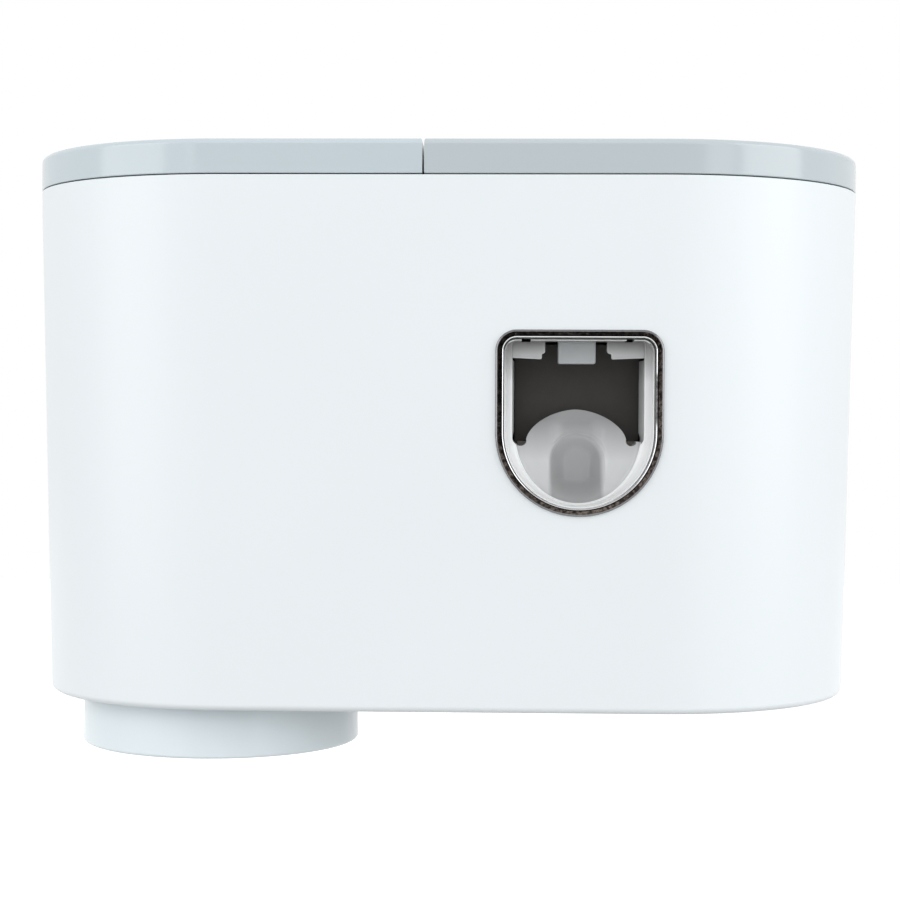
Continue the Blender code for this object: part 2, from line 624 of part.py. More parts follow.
def back_plate():
    """The panel that closes the shell behind, with slots for the wall plate's hooks."""
    low = BOTTOM + BACK_BOTTOM_HEIGHT
    low_half = plan(low, SHELL_WALL + SEAT_GAP)[0]
    high_half = plan(RIM, SHELL_WALL + SEAT_GAP)[0]
    outline = [(-low_half, low), (low_half, low), (high_half, RIM), (-high_half, RIM)]
    plate = solid("back_plate", prism("y", BACK_FRONT, BACK_REAR, outline), "inner_white")
    slot_top = HOOK_ABOVE_PAD_CENTRE + HOOK_ARM_THICKNESS / 2 + SEAT_GAP
    slot_bottom = HOOK_ABOVE_PAD_CENTRE - HOOK_ARM_THICKNESS / 2 - LIFT_TRAVEL - SEAT_GAP
    slot_half = HOOK_WIDTH / 2 + HOOK_SIDE_CLEARANCE
    cuts = []
    for side in (-1, 1):
        x = side * HOOK_SPACING / 2
        cuts.append(box(x - slot_half, x + slot_half, BACK_FRONT - CUT_OVERRUN, BACK_REAR + CUT_OVERRUN,
                        slot_bottom, slot_top))
        for z in HOUSING_SCREW_Z:
            centre = (side * HOUSING_SCREW_X, z)
            cuts.append(rod("y", centre, SCREW_RADIUS + SEAT_GAP, BACK_FRONT - CUT_OVERRUN,
                            BACK_REAR + CUT_OVERRUN))
    cut(plate, cuts)


def housing_screws():
    number = 0
    for side in (-1, 1):
        for z in HOUSING_SCREW_Z:
            number += 1
            centre = (side * HOUSING_SCREW_X, z)
            length = HOUSING_SCREW_LENGTH + BACK_THICKNESS
            screw(f"housing_screw_{number}", centre, BACK_REAR + SEAT_GAP, -1, length)


def knuckle(x, width):
    """The round part of a hinge knuckle."""
    return rod("x", (HINGE_Y, HINGE_Z), KNUCKLE_RADIUS, x - width / 2, x + width / 2, ROUND_SIDES)


def rail_knuckle_places(hinge_x):
    """The middles of the two rail knuckles beside a lid's knuckle."""
    apart = LID_KNUCKLE_WIDTH / 2 + SEAT_GAP + RAIL_KNUCKLE_WIDTH / 2
    return [hinge_x - apart, hinge_x + apart]


def hinge_bore(x):
    """The hole for one hinge's pin, through its three knuckles."""
    half = LID_KNUCKLE_WIDTH / 2 + RAIL_KNUCKLE_WIDTH + 2 * SEAT_GAP
    return rod("x", (HINGE_Y, HINGE_Z), HINGE_PIN_RADIUS + SEAT_GAP, x - half, x + half)


def hinge_rail():
    """The fixed strip behind the lids, with its knuckles and the tongues that hold it."""
    half = BODY_WIDTH / 2
    levels = [(LID_TOP - lift, inset) for inset, lift in fillet_steps(LID_JOINT_RADIUS, 2)]
    levels += [(LID_BOTTOM, 0.0), (LID_BOTTOM, LID_WALL), (LID_TOP - LID_WALL, LID_WALL)]
    rings = []
    for z, inset in levels:
        outline = rectangle(-half + inset, half - inset, RAIL_FRONT + inset, -SHELL_BACK_GAP - inset)
        rings.append(at("z", z, outline))
    rail = solid("hinge_rail", loft(rings), "lid_grey")
    extras = []
    for hinge_x in LEFT_HINGE_X + RIGHT_HINGE_X:
        for x in rail_knuckle_places(hinge_x):
            extras.append(knuckle(x, RAIL_KNUCKLE_WIDTH))
            extras.append(box(x - RAIL_KNUCKLE_WIDTH / 2, x + RAIL_KNUCKLE_WIDTH / 2, HINGE_Y,
                              RAIL_FRONT + LID_WALL / 2, HINGE_Z, LID_TOP - LID_JOINT_RADIUS))
    for x in RAIL_TONGUE_X:
        extras.append(box(x - RAIL_TONGUE_WIDTH / 2, x + RAIL_TONGUE_WIDTH / 2,
                          INSIDE_REAR - RAIL_TONGUE_THICKNESS, INSIDE_REAR,
                          RIM - RAIL_TONGUE_DROP, LID_TOP - LID_WALL / 2))
    join(rail, extras)
    cut(rail, [hinge_bore(x) for x in LEFT_HINGE_X + RIGHT_HINGE_X])


def lid(name, side, hinges, cuts):
    """One of the two lids: a shallow cap with knuckles, its origin on its hinge's axis."""
    edge = fillet_steps(LID_EDGE_RADIUS)
    joint = fillet_steps(LID_JOINT_RADIUS)
    levels = [(LID_TOP - lift, inset, small) for (inset, lift), (small, _) in zip(edge, joint)]
    levels.append((LID_BOTTOM, 0.0, 0.0))
    levels.append((LID_BOTTOM, LID_WALL, LID_WALL))
    levels.append((LID_TOP - LID_WALL, LID_WALL, LID_WALL))
    rings = []
    for z, inset, small in levels:
        split = LID_SPLIT_X + side * (LID_SPLIT_GAP / 2 + small)
        rings.append(at("z", z, bay_outline(side, RIM, inset, split, LID_REAR - small)))
    middle = (hinges[0] + hinges[1]) / 2
    made = solid(name, loft(rings), "lid_grey", (middle, HINGE_Y, HINGE_Z))
    join(made, [knuckle(x, LID_KNUCKLE_WIDTH) for x in hinges])
    half_notch = RAIL_KNUCKLE_WIDTH / 2 + SEAT_GAP
    for hinge_x in hinges:
        cuts.append(hinge_bore(hinge_x))
        for x in rail_knuckle_places(hinge_x):
            cuts.append(box(x - half_notch, x + half_notch, HINGE_Y - KNUCKLE_RADIUS - SEAT_GAP,
                            LID_REAR + CUT_OVERRUN, LID_BOTTOM - CUT_OVERRUN, LID_TOP + CUT_OVERRUN))
    cut(made, cuts)


def lids():
    lid("left_lid", -1, LEFT_HINGE_X, [])
    slot = rounded_rectangle(WINDOW_X - TUBE_SLOT_WIDTH / 2, WINDOW_X + TUBE_SLOT_WIDTH / 2,
                             PUMP_Y - TUBE_SLOT_DEPTH / 2, PUMP_Y + TUBE_SLOT_DEPTH / 2,
                             TUBE_SLOT_DEPTH / 2, ARCH_STEPS // 2)
    tube_slot = prism("z", LID_TOP - LID_WALL - CUT_OVERRUN, LID_TOP + CUT_OVERRUN, slot)
    lid("right_lid", 1, RIGHT_HINGE_X, [tube_slot])


def hinge_pins():
    half = LID_KNUCKLE_WIDTH / 2 + SEAT_GAP + RAIL_KNUCKLE_WIDTH
    names = ("left_outer", "left_inner", "right_inner", "right_outer")
    for name, x in zip(names, LEFT_HINGE_X + RIGHT_HINGE_X):
        pin = rod("x", (HINGE_Y, HINGE_Z), HINGE_PIN_RADIUS, x - half, x + half)
        solid(f"hinge_pin_{name}", pin, "steel", (x, HINGE_Y, HINGE_Z))


def partition_wall():
    """The upright wall between the two bays, with a ledge for the cup deck."""
    low = BOTTOM + PARTITION_BOTTOM_HEIGHT
    high = RIM - SEAT_GAP
    front_inset = SHELL_WALL + SEAT_GAP
    outline = [
        (INSIDE_REAR, low),
        (-plan(low, front_inset)[1], low),
        (-plan(high, front_inset)[1], high),
        (INSIDE_REAR - RAIL_TONGUE_THICKNESS - SEAT_GAP, high),
        (INSIDE_REAR - RAIL_TONGUE_THICKNESS - SEAT_GAP, RIM - RAIL_TONGUE_DROP - SEAT_GAP),
        (INSIDE_REAR, RIM - RAIL_TONGUE_DROP - SEAT_GAP),
    ]
    wall = solid("partition_wall", prism("x", PARTITION_LEFT, PARTITION_RIGHT, outline), "inner_white")
    ledge_top = DECK_BOTTOM - SEAT_GAP
    ledge = box(PARTITION_LEFT - LEDGE_REACH, LID_SPLIT_X, CUP_Y - LEDGE_LENGTH, CUP_Y + LEDGE_LENGTH,
                ledge_top - LEDGE_THICKNESS, ledge_top)
    join(wall, [ledge])


def cup_deck():
    """The shelf over the cup, with a pocket for the magnet in a boss below it."""
    outline = bay_outline(-1, DECK_BOTTOM, SHELL_WALL + SEAT_GAP, PARTITION_LEFT - SEAT_GAP, INSIDE_REAR)
    deck = solid("cup_deck", prism("z", DECK_BOTTOM, DECK_TOP, outline), "inner_white")
    centre = (CUP_X, CUP_Y)
    pocket = MAGNET_RADIUS + SEAT_GAP
    middle = (DECK_BOTTOM + DECK_TOP) / 2
    join(deck, [rod("z", centre, pocket + MAGNET_BOSS_WALL, DECK_BOSS_BOTTOM, middle, ROUND_SIDES)])
    pocket_floor = DECK_BOSS_BOTTOM + MAGNET_FLOOR
    cut(deck, [rod("z", centre, pocket, pocket_floor, DECK_TOP + CUT_OVERRUN, ROUND_SIDES)])
    magnet = rod("z", centre, MAGNET_RADIUS, MAGNET_BOTTOM, MAGNET_BOTTOM + MAGNET_THICKNESS, ROUND_SIDES)
    solid("cup_magnet", magnet, "magnet", (CUP_X, CUP_Y, MAGNET_BOTTOM))


def rinse_cup():
    """The cup, stored mouth down, with the steel disc and cap in its base."""
    centre = (CUP_X, CUP_Y)
    origin = (CUP_X, CUP_Y, CUP_BOTTOM)
    base_radius = CUP_RADIUS - CUP_TAPER
    recess = STEEL_RADIUS + SEAT_GAP
    recess_floor = CUP_TOP - BASE_CAP_THICKNESS - SEAT_GAP - STEEL_THICKNESS - SEAT_GAP
    profile = [(recess, recess_floor), (recess, CUP_TOP)]
    profile += [(base_radius - inset, CUP_TOP - lift) for inset, lift in fillet_steps(CUP_EDGE_RADIUS)]
    profile += [
        (CUP_RADIUS, CUP_BOTTOM + CUP_LIP_RADIUS),
        (CUP_RADIUS - CUP_LIP_RADIUS, CUP_BOTTOM),
        (CUP_RADIUS - CUP_WALL + CUP_LIP_RADIUS / 2, CUP_BOTTOM),
        (CUP_RADIUS - CUP_WALL, CUP_BOTTOM + CUP_LIP_RADIUS / 2),
        (base_radius - CUP_WALL, CUP_TOP - CUP_BASE - CUP_EDGE_RADIUS),
        (base_radius - CUP_WALL - CUP_EDGE_RADIUS, CUP_TOP - CUP_BASE),
    ]
    solid("rinse_cup", turned("z", centre, profile, CUP_SIDES), "white", origin)
    steel_low = recess_floor + SEAT_GAP
    steel = rod("z", centre, STEEL_RADIUS, steel_low, steel_low + STEEL_THICKNESS, ROUND_SIDES)
    solid("cup_steel_disc", steel, "steel", origin)
    cap = rod("z", centre, STEEL_RADIUS, CUP_TOP - BASE_CAP_THICKNESS, CUP_TOP, ROUND_SIDES)
    solid("cup_base_cap", cap, "white", origin)


def storage_tray():
    """The lift-out tray over the cup deck."""
    right = PARTITION_LEFT - TRAY_CORNER_GAP
    rear = HINGE_Y - KNUCKLE_RADIUS - TRAY_REAR_CLEARANCE
    levels = [
        (TRAY_BOTTOM, 0.0),
        (TRAY_TOP, 0.0),
        (TRAY_TOP, TRAY_WALL),
        (TRAY_BOTTOM + TRAY_WALL, TRAY_WALL),
    ]
    rings = []
    for z, inset in levels:
        rings.append(at("z", z, bay_outline(-1, RIM, TRAY_INSET + inset, right - inset, rear - inset)))
    solid("storage_tray", loft(rings), "inner_white")


def keyhole(x, y):
    """A round hole for a handle with a narrow neck toward the front."""
    half_neck = RACK_NECK_WIDTH / 2
    start = math.asin(half_neck / RACK_HOLE_RADIUS)
    outline = arc((x, y), RACK_HOLE_RADIUS, start - QUARTER_TURN, 3 * QUARTER_TURN - start, ROUND_SIDES)
    outline += arc((x, y - RACK_NECK_REACH + half_neck), half_neck, HALF_TURN, FULL_TURN, 2 * SMALL_STEPS)
    return outline


def places_that_fit(first, spacing, last):
    """The first place, and as many more at the spacing as come before the last one allowed."""
    return [first + spacing * i for i in range(1 + max(0, int((last - first) / spacing)))]


def brush_rack():
    """The shelf that the brushes hang in by their heads."""
    low = BOTTOM + RACK_HEIGHT
    high = low + RACK_THICKNESS
    outline = bay_outline(1, low, SHELL_WALL + SEAT_GAP, RACK_LEFT_X, INSIDE_REAR)
    rack = solid("brush_rack", prism("z", low, high, outline), "inner_white")
    half, front, _ = plan(low, SHELL_WALL + SEAT_GAP + RACK_BORDER)
    first_column = RACK_LEFT_X + RACK_COLUMN_FROM_EDGE
    holes = []
    for x in places_that_fit(first_column, RACK_COLUMN_SPACING, half - RACK_HOLE_RADIUS):
        for y in places_that_fit(RACK_ROW_FROM_WALL, RACK_ROW_SPACING, front - RACK_NECK_REACH):
            holes.append(prism("z", low - CUT_OVERRUN, high + CUT_OVERRUN, keyhole(x, -y)))
    cut(rack, holes)


def bottom_cover():
    """The floor under the dispenser."""
    low = BOTTOM + COVER_HEIGHT
    half, front, radius = plan(low, SHELL_WALL + SEAT_GAP)
    centre = half - radius
    reach = math.asin((COVER_RIGHT_X - centre) / radius)
    outline = [(PARTITION_RIGHT + SEAT_GAP, INSIDE_REAR), (PARTITION_RIGHT + SEAT_GAP, -front)]
    outline += arc((centre, radius - front), radius, -QUARTER_TURN, reach - QUARTER_TURN, SMALL_STEPS)
    outline.append((COVER_RIGHT_X, INSIDE_REAR))
    solid("bottom_cover", prism("z", low, low + COVER_THICKNESS, outline), "white")


def window_trim():
    """The chrome ring round the window, which follows the shell's sloping front."""
    outer = [(inset, lift) for inset, lift in fillet_steps(TRIM_EDGE_RADIUS, 2)]
    inner = [(TRIM_WIDTH - inset, lift) for inset, lift in reversed(outer)]
    sections = [(0.0, TRIM_DEPTH), *reversed(outer), *reversed(inner), (TRIM_WIDTH, TRIM_DEPTH)]
    rings = []
    for inset, back in sections:
        outline = window_outline(TRIM_HALF_WIDTH - inset, WINDOW_TOP - inset, TRIM_CORNER_RADIUS - inset)
        rings.append([(x, front_face(z) - TRIM_PROUD + back, z) for x, z in outline])
    solid("window_trim", loft(rings, endless=True), "chrome")


def window_bezel():
    """The white frame behind the trim: a flange, a funnel and a straight throat, open at the top rear."""
    flange_half = BEZEL_MOUTH_HALF + BEZEL_FLANGE_BORDER
    flange_top = BEZEL_TOP + BEZEL_FLANGE_BORDER
    throat_outer = BEZEL_THROAT_HALF + BEZEL_WALL
    slope = (BEZEL_MOUTH_HALF - BEZEL_THROAT_HALF) / BEZEL_FUNNEL_DEPTH
    flange_root = throat_outer + slope * (BEZEL_FUNNEL_DEPTH - BEZEL_FLANGE)
    corner = BEZEL_CORNER_RADIUS
    sections = [
        (BEZEL_FRONT_Y, flange_half, flange_top, corner),
        (BEZEL_FLANGE_REAR, flange_half, flange_top, corner),
        (BEZEL_FLANGE_REAR, flange_root, BEZEL_TOP + BEZEL_WALL, corner),
        (THROAT_FRONT, throat_outer, BEZEL_TOP + BEZEL_WALL, corner),
        (BEZEL_REAR, throat_outer, BEZEL_TOP + BEZEL_WALL, corner),
        (BEZEL_REAR, BEZEL_THROAT_HALF, BEZEL_TOP, corner),
        (THROAT_FRONT, BEZEL_THROAT_HALF, BEZEL_TOP, corner),
        (BEZEL_FRONT_Y, BEZEL_MOUTH_HALF, BEZEL_TOP, corner),
    ]
    rings = [at("y", y, window_outline(half, top, radius)) for y, half, top, radius in sections]
    bezel = solid("window_bezel", loft(rings, endless=True), "bezel_white")
    opening = box(WINDOW_X - throat_outer - CUT_OVERRUN, WINDOW_X + throat_outer + CUT_OVERRUN,
                  THROAT_FRONT, BEZEL_REAR + CUT_OVERRUN, BEZEL_TOP - BEZEL_TOP_CUT, CASE_TOP)
    cut(bezel, [opening])


def pusher_outline():
    """Front view of the pusher: a half round below and an arch above, with a small notch at each foot."""
    drop = WINDOW_ROUND_HEIGHT - PUSHER_SIDE_TOP_HEIGHT
    tilt = math.asin(drop / PUSHER_HALF)
    centre = (WINDOW_X, WINDOW_ROUND)
    points = arc(centre, PUSHER_HALF, HALF_TURN + tilt, FULL_TURN - tilt, 2 * CORNER_STEPS)
    foot = WINDOW_ROUND - drop
    for i in range(ARCH_STEPS + 1):
        angle = HALF_TURN * i / ARCH_STEPS
        x = WINDOW_X + PUSHER_ARCH_HALF * math.cos(angle)
        points.append((x, foot + PUSHER_ARCH_TALL * math.sin(angle)))
    return points


def niche_outline():
    """The arched recess that the brush's tip goes into."""
    half = PUSHER_NICHE_HALF
    low = WINDOW_ROUND - PUSHER_HALF + PUSHER_NICHE_FLOOR
    corner = PUSHER_NICHE_CORNER
    top = WINDOW_ROUND - half
    left, right = WINDOW_X - half + corner, WINDOW_X + half - corner
    points = arc((WINDOW_X, top), half, 0, HALF_TURN, ARCH_STEPS)
    points += arc((left, low + corner), corner, HALF_TURN, 3 * QUARTER_TURN, SMALL_STEPS)
    return points + arc((right, low + corner), corner, 3 * QUARTER_TURN, FULL_TURN, SMALL_STEPS)


def bowl():
    """Half an ellipsoid whose rim lies on the pusher's front face, as rings that shrink to a small cap."""
    rim = PUSHER_HALF - PUSHER_BOWL_RIM
    rings = [at("y", THROAT_FRONT - CUT_OVERRUN, circle((WINDOW_X, WINDOW_ROUND), rim, 2 * ROUND_SIDES))]
    for i in range(ARCH_STEPS):
        angle = QUARTER_TURN * i / ARCH_STEPS
        radius = rim * math.cos(angle)
        depth = PUSHER_BOWL_DEPTH * math.sin(angle)
        rings.append(at("y", THROAT_FRONT + depth, circle((WINDOW_X, WINDOW_ROUND), radius, 2 * ROUND_SIDES)))
    return loft(rings)


def pusher():
    """The bowl that the brush presses, and the dark press plate that it carries on two sleeves."""
    origin = (WINDOW_X, THROAT_FRONT, WINDOW_ROUND)
    block = solid("pusher", prism("y", THROAT_FRONT, PUSHER_REAR, pusher_outline()), "pusher_white", origin)
    niche = prism("y", THROAT_FRONT - CUT_OVERRUN, THROAT_FRONT + PUSHER_NICHE_DEPTH, niche_outline())
    deepest = guide_tip() - PUSHER_TRAVEL - SEAT_GAP
    sockets = [rod("y", centre, GUIDE_RADIUS + SEAT_GAP, deepest, PUSHER_REAR + CUT_OVERRUN)
               for centre in guide_places()]
    cut(block, [bowl(), niche, *sockets])
    low = WINDOW_ROUND - PUSHER_HALF
    plate = rounded_rectangle(WINDOW_X - PUSHER_HALF, WINDOW_X + PUSHER_HALF, low,
                              BOTTOM + PRESS_TOP_HEIGHT, PUSHER_NICHE_CORNER)
    press = solid("press_plate", prism("y", PRESS_FRONT, PRESS_REAR, plate), "charcoal", origin)
    middle = (PRESS_FRONT + PRESS_REAR) / 2
    sleeves = [rod("y", centre, SLEEVE_RADIUS, middle, PRESS_REAR + SLEEVE_LENGTH, ROUND_SIDES)
               for centre in guide_places()]
    join(press, sleeves)
    bores = [rod("y", centre, GUIDE_RADIUS + SEAT_GAP, PRESS_FRONT - CUT_OVERRUN,
                 PRESS_REAR + SLEEVE_LENGTH + CUT_OVERRUN) for centre in guide_places()]
    cut(press, bores)


def guide_places():
    return [(WINDOW_X + side * GUIDE_SPACING / 2, BOTTOM + GUIDE_HEIGHT) for side in (-1, 1)]


def guide_tip():
    """The y of the guide pins' front ends."""
    return PRESS_REAR + SLEEVE_LENGTH - GUIDE_ENGAGED


def guides_and_springs():
    """The pins that the press plate slides on and the springs that bring it back."""
    tip = guide_tip()
    start = PRESS_REAR + SEAT_GAP + SPRING_WIRE_RADIUS
    end = CASE_COVER_FRONT - SEAT_GAP - SPRING_WIRE_RADIUS
    for name, centre in zip(("left", "right"), guide_places()):
        pin = rod("y", centre, GUIDE_RADIUS, tip, CASE_COVER_FRONT - SEAT_GAP)
        solid(f"guide_pin_{name}", pin, "steel", (centre[0], tip, centre[1]))
        coil = bpy.data.curves.new(f"return_spring_{name}", "CURVE")
        coil.dimensions = "3D"
        coil.bevel_depth = SPRING_WIRE_RADIUS
        coil.bevel_resolution = 1
        coil.use_fill_caps = True
        count = SPRING_TURNS * COIL_POINTS
        spline = coil.splines.new("POLY")
        spline.points.add(count)
        for i, point in enumerate(spline.points):
            angle = FULL_TURN * i / COIL_POINTS
            x = SPRING_RADIUS * math.cos(angle)
            z = SPRING_RADIUS * math.sin(angle)
            point.co = (x, (end - start) * i / count, z, 1.0)
        coil.materials.append(material(f"return_spring_{name}", "steel"))
        spring = bpy.data.objects.new(f"return_spring_{name}", coil)
        spring.location = (centre[0], start, centre[1])
        bpy.context.scene.collection.objects.link(spring)


def case_screw_places():
    return [(WINDOW_X + side * CASE_SCREW_X, BOTTOM + height)
            for side in (-1, 1) for height in CASE_SCREW_HEIGHTS]


def dispenser_case():
    """The dark box round the mechanism, its rear cover and the screws that hold it to the shell."""
    outer = rectangle(WINDOW_X - CASE_HALF_WIDTH, WINDOW_X + CASE_HALF_WIDTH, CASE_BOTTOM, CASE_TOP)
    case = solid("dispenser_case", prism("y", CASE_FRONT, CASE_REAR, outer), "charcoal")
    flange = rounded_rectangle(WINDOW_X - CASE_FLANGE_HALF, WINDOW_X + CASE_FLANGE_HALF,
                               BOTTOM + CASE_SCREW_HEIGHTS[0] - CASE_FLANGE_MARGIN,
                               BOTTOM + CASE_SCREW_HEIGHTS[1] + CASE_FLANGE_MARGIN, CASE_FLANGE_MARGIN)
    join(case, [prism("y", CASE_FRONT, CASE_FRONT + CASE_FLANGE_THICKNESS, flange)])
    inner_half = CASE_HALF_WIDTH - CASE_WALL
    inner = rectangle(WINDOW_X - inner_half, WINDOW_X + inner_half, CASE_BOTTOM + CASE_WALL, CASE_TOP_INSIDE)
    cuts = [prism("y", CASE_FRONT - CUT_OVERRUN, CASE_REAR + CUT_OVERRUN, inner)]
    for x, z in case_screw_places():
        cuts.append(rod("y", (x, z), SCREW_RADIUS + SEAT_GAP, CASE_FRONT - CUT_OVERRUN,
                        CASE_FRONT + CASE_FLANGE_THICKNESS + CUT_OVERRUN))
    cuts.append(rod("z", (WINDOW_X, PUMP_Y), ADAPTER_RADIUS + SEAT_GAP, CASE_TOP_INSIDE - CUT_OVERRUN,
                    CASE_TOP + CUT_OVERRUN, ROUND_SIDES))
    cut(case, cuts)
    for number, centre in enumerate(case_screw_places(), 1):
        head_y = CASE_FRONT + CASE_FLANGE_THICKNESS + SEAT_GAP
        screw(f"case_screw_{number}", centre, head_y, -1, CASE_SCREW_LENGTH + CASE_FLANGE_THICKNESS)
    rear = rectangle(WINDOW_X - CASE_HALF_WIDTH, WINDOW_X + CASE_HALF_WIDTH, CASE_BOTTOM, CASE_TOP)
    solid("case_rear_cover", prism("y", CASE_COVER_FRONT, CASE_COVER_REAR, rear), "charcoal")


def channel_block():
    """The block that leads paste from the tube to the pump and on to the nozzle, with two front tabs."""
    left, right = WINDOW_X - CHANNEL_HALF_WIDTH, WINDOW_X + CHANNEL_HALF_WIDTH
    rear = PUMP_Y + CHANNEL_HALF_WIDTH
    main = box(left, right, TAB_FRONT, rear, CHANNEL_BOTTOM, CHANNEL_TOP)
    block = solid("channel_block", main, "bezel_white")
    wing_left, wing_right = WINDOW_X - CHANNEL_WING_HALF, WINDOW_X + CHANNEL_WING_HALF
    wing_top = CHANNEL_BOTTOM + CHANNEL_WING_THICKNESS
    extras = [box(wing_left, wing_right, TAB_FRONT, TAB_FRONT + CHANNEL_WING_DEPTH, CHANNEL_BOTTOM, wing_top)]
    tab_bottom = BOTTOM + TAB_BOTTOM_HEIGHT
    for side in (-1, 1):
        outer = WINDOW_X + side * CHANNEL_WING_HALF
        inner = outer - side * TAB_WIDTH
        step = inner + side * TAB_STEP
        outline = [(outer, wing_top), (outer, tab_bottom), (step, tab_bottom),
                   (step, tab_bottom + TAB_STEP), (inner, tab_bottom + TAB_STEP), (inner, wing_top)]
        extras.append(prism("y", TAB_FRONT, TAB_FRONT + TAB_DEPTH, outline))
    join(block, extras)
    middle = (CHANNEL_BORE_BOTTOM + CHANNEL_BORE_TOP) / 2
    cuts = [
        box(WINDOW_X - CHANNEL_BORE_HALF, WINDOW_X + CHANNEL_BORE_HALF, NOZZLE_Y - CHANNEL_BORE_HALF,
            PUMP_Y + CHANNEL_BORE_HALF, CHANNEL_BORE_BOTTOM, CHANNEL_BORE_TOP),
        rod("z", (WINDOW_X, NOZZLE_Y), CHANNEL_BORE_HALF, CHANNEL_BOTTOM - CUT_OVERRUN, middle),
        rod("z", (WINDOW_X, PUMP_Y), PUMP_NECK_RADIUS + SEAT_GAP, CHANNEL_BOTTOM - CUT_OVERRUN,
            CHANNEL_BORE_BOTTOM, ROUND_SIDES),
        rod("z", (WINDOW_X, PUMP_Y), INLET_RADIUS + SEAT_GAP, CHANNEL_BORE_TOP, CHANNEL_TOP + CUT_OVERRUN,
            ROUND_SIDES),
    ]
    cut(block, cuts)


def nozzle():
    """The grey block that the paste leaves from, and its valve."""
    low = BOTTOM + NOZZLE_BOTTOM_HEIGHT
    high = CHANNEL_BOTTOM - SEAT_GAP
    block = box(WINDOW_X - NOZZLE_HALF_WIDTH, WINDOW_X + NOZZLE_HALF_WIDTH, NOZZLE_FRONT,
                NOZZLE_FRONT + NOZZLE_DEPTH, low, high)
    made = solid("nozzle", block, "nozzle_grey")
    seat = low + NOZZLE_LIP_TALL
    centre = (WINDOW_X, NOZZLE_Y)
    cut(made, [rod("z", centre, NOZZLE_BORE_RADIUS, seat, high + CUT_OVERRUN, ROUND_SIDES),
               rod("z", centre, NOZZLE_LIP_RADIUS, low - CUT_OVERRUN, seat + CUT_OVERRUN, ROUND_SIDES)])
    ring = NOZZLE_BORE_RADIUS - SEAT_GAP
    profile = [(VALVE_SLIT_RADIUS, seat + SEAT_GAP), (ring, seat + SEAT_GAP),
               (ring, seat + SEAT_GAP + VALVE_TALL), (VALVE_SLIT_RADIUS, seat + SEAT_GAP + VALVE_TALL)]
    solid("outlet_valve", turned("z", centre, profile, SCREW_SIDES, endless=True), "silicone")


def pump():
    """The silicone pump bulb under the channel block, open at its neck."""
    neck_top = CHANNEL_BOTTOM + PUMP_NECK_TALL
    shoulder = CHANNEL_BOTTOM - SEAT_GAP
    half = PUMP_TALL / 2
    middle = shoulder - half
    neck_bore = PUMP_NECK_RADIUS - PUMP_WALL
    inner_radius = PUMP_RADIUS - PUMP_WALL
    inner_half = half - PUMP_WALL
    angles = [HALF_TURN * i / ARCH_STEPS for i in range(1, ARCH_STEPS)]
    outer = [(max(PUMP_RADIUS * math.sin(a), PUMP_NECK_RADIUS), middle + half * math.cos(a)) for a in angles]
    inner = [(max(inner_radius * math.sin(a), neck_bore), middle + inner_half * math.cos(a))
             for a in reversed(angles)]
    neck = [(neck_bore, neck_top), (PUMP_NECK_RADIUS, neck_top), (PUMP_NECK_RADIUS, shoulder)]
    shape = turned("z", (WINDOW_X, PUMP_Y), inner + neck + outer, PUMP_SIDES)
    solid("pump_bulb", shape, "silicone")


def inlet():
    """The inlet valve, the socket that the toothpaste tube screws into, and the seal in its floor."""
    centre = (WINDOW_X, PUMP_Y)
    low = CHANNEL_BORE_TOP + SEAT_GAP
    profile = [(VALVE_SLIT_RADIUS, low), (INLET_RADIUS, low), (INLET_RADIUS, low + INLET_THICKNESS),
               (VALVE_SLIT_RADIUS, low + INLET_THICKNESS)]
    solid("inlet_valve", turned("z", centre, profile, SCREW_SIDES, endless=True), "silicone")
    floor = CASE_TOP_INSIDE
    flange_low = CASE_TOP + SEAT_GAP
    flange_high = flange_low + ADAPTER_FLANGE_THICKNESS
    bore = ADAPTER_RADIUS - ADAPTER_WALL
    profile = [
        (ADAPTER_PORT_RADIUS, floor),
        (ADAPTER_RADIUS, floor),
        (ADAPTER_RADIUS, flange_low),
        (ADAPTER_FLANGE_RADIUS, flange_low),
        (ADAPTER_FLANGE_RADIUS, flange_high),
        (ADAPTER_RADIUS, flange_high),
        (ADAPTER_RADIUS, ADAPTER_TOP),
        (bore, ADAPTER_TOP),
        (bore, floor + ADAPTER_FLOOR),
        (ADAPTER_PORT_RADIUS, floor + ADAPTER_FLOOR),
    ]
    solid("tube_adapter", turned("z", centre, profile, ROUND_SIDES, endless=True), "bezel_white")
    seal_low = floor + ADAPTER_FLOOR + SEAT_GAP
    profile = [(ADAPTER_PORT_RADIUS, seal_low), (bore - SEAT_GAP, seal_low),
               (bore - SEAT_GAP, seal_low + SEAL_THICKNESS), (ADAPTER_PORT_RADIUS, seal_low + SEAL_THICKNESS)]
    solid("adapter_seal", turned("z", centre, profile, ROUND_SIDES, endless=True), "silicone")


def build():
    clear_scene()
    wall_side()
    front_shell()
    back_plate()
    housing_screws()
    hinge_rail()
    lids()
    hinge_pins()
    partition_wall()
    cup_deck()
    rinse_cup()
    storage_tray()
    brush_rack()
    bottom_cover()
    window_trim()
    window_bezel()
    pusher()
    guides_and_springs()
    dispenser_case()
    channel_block()
    nozzle()
    pump()
    inlet()


build()
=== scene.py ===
"""Surfaces, materials, lights and camera of a wall-held toothbrush holder and paste dispenser.

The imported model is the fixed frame: metres, +X to the right, +Y into the wall, +Z up. Each operator
makes one piece, or a group of like pieces, as a surface worked out with numpy, or dresses nodes.
"""

import bmesh
import bpy
import numpy as np
from mathutils import Matrix, Vector


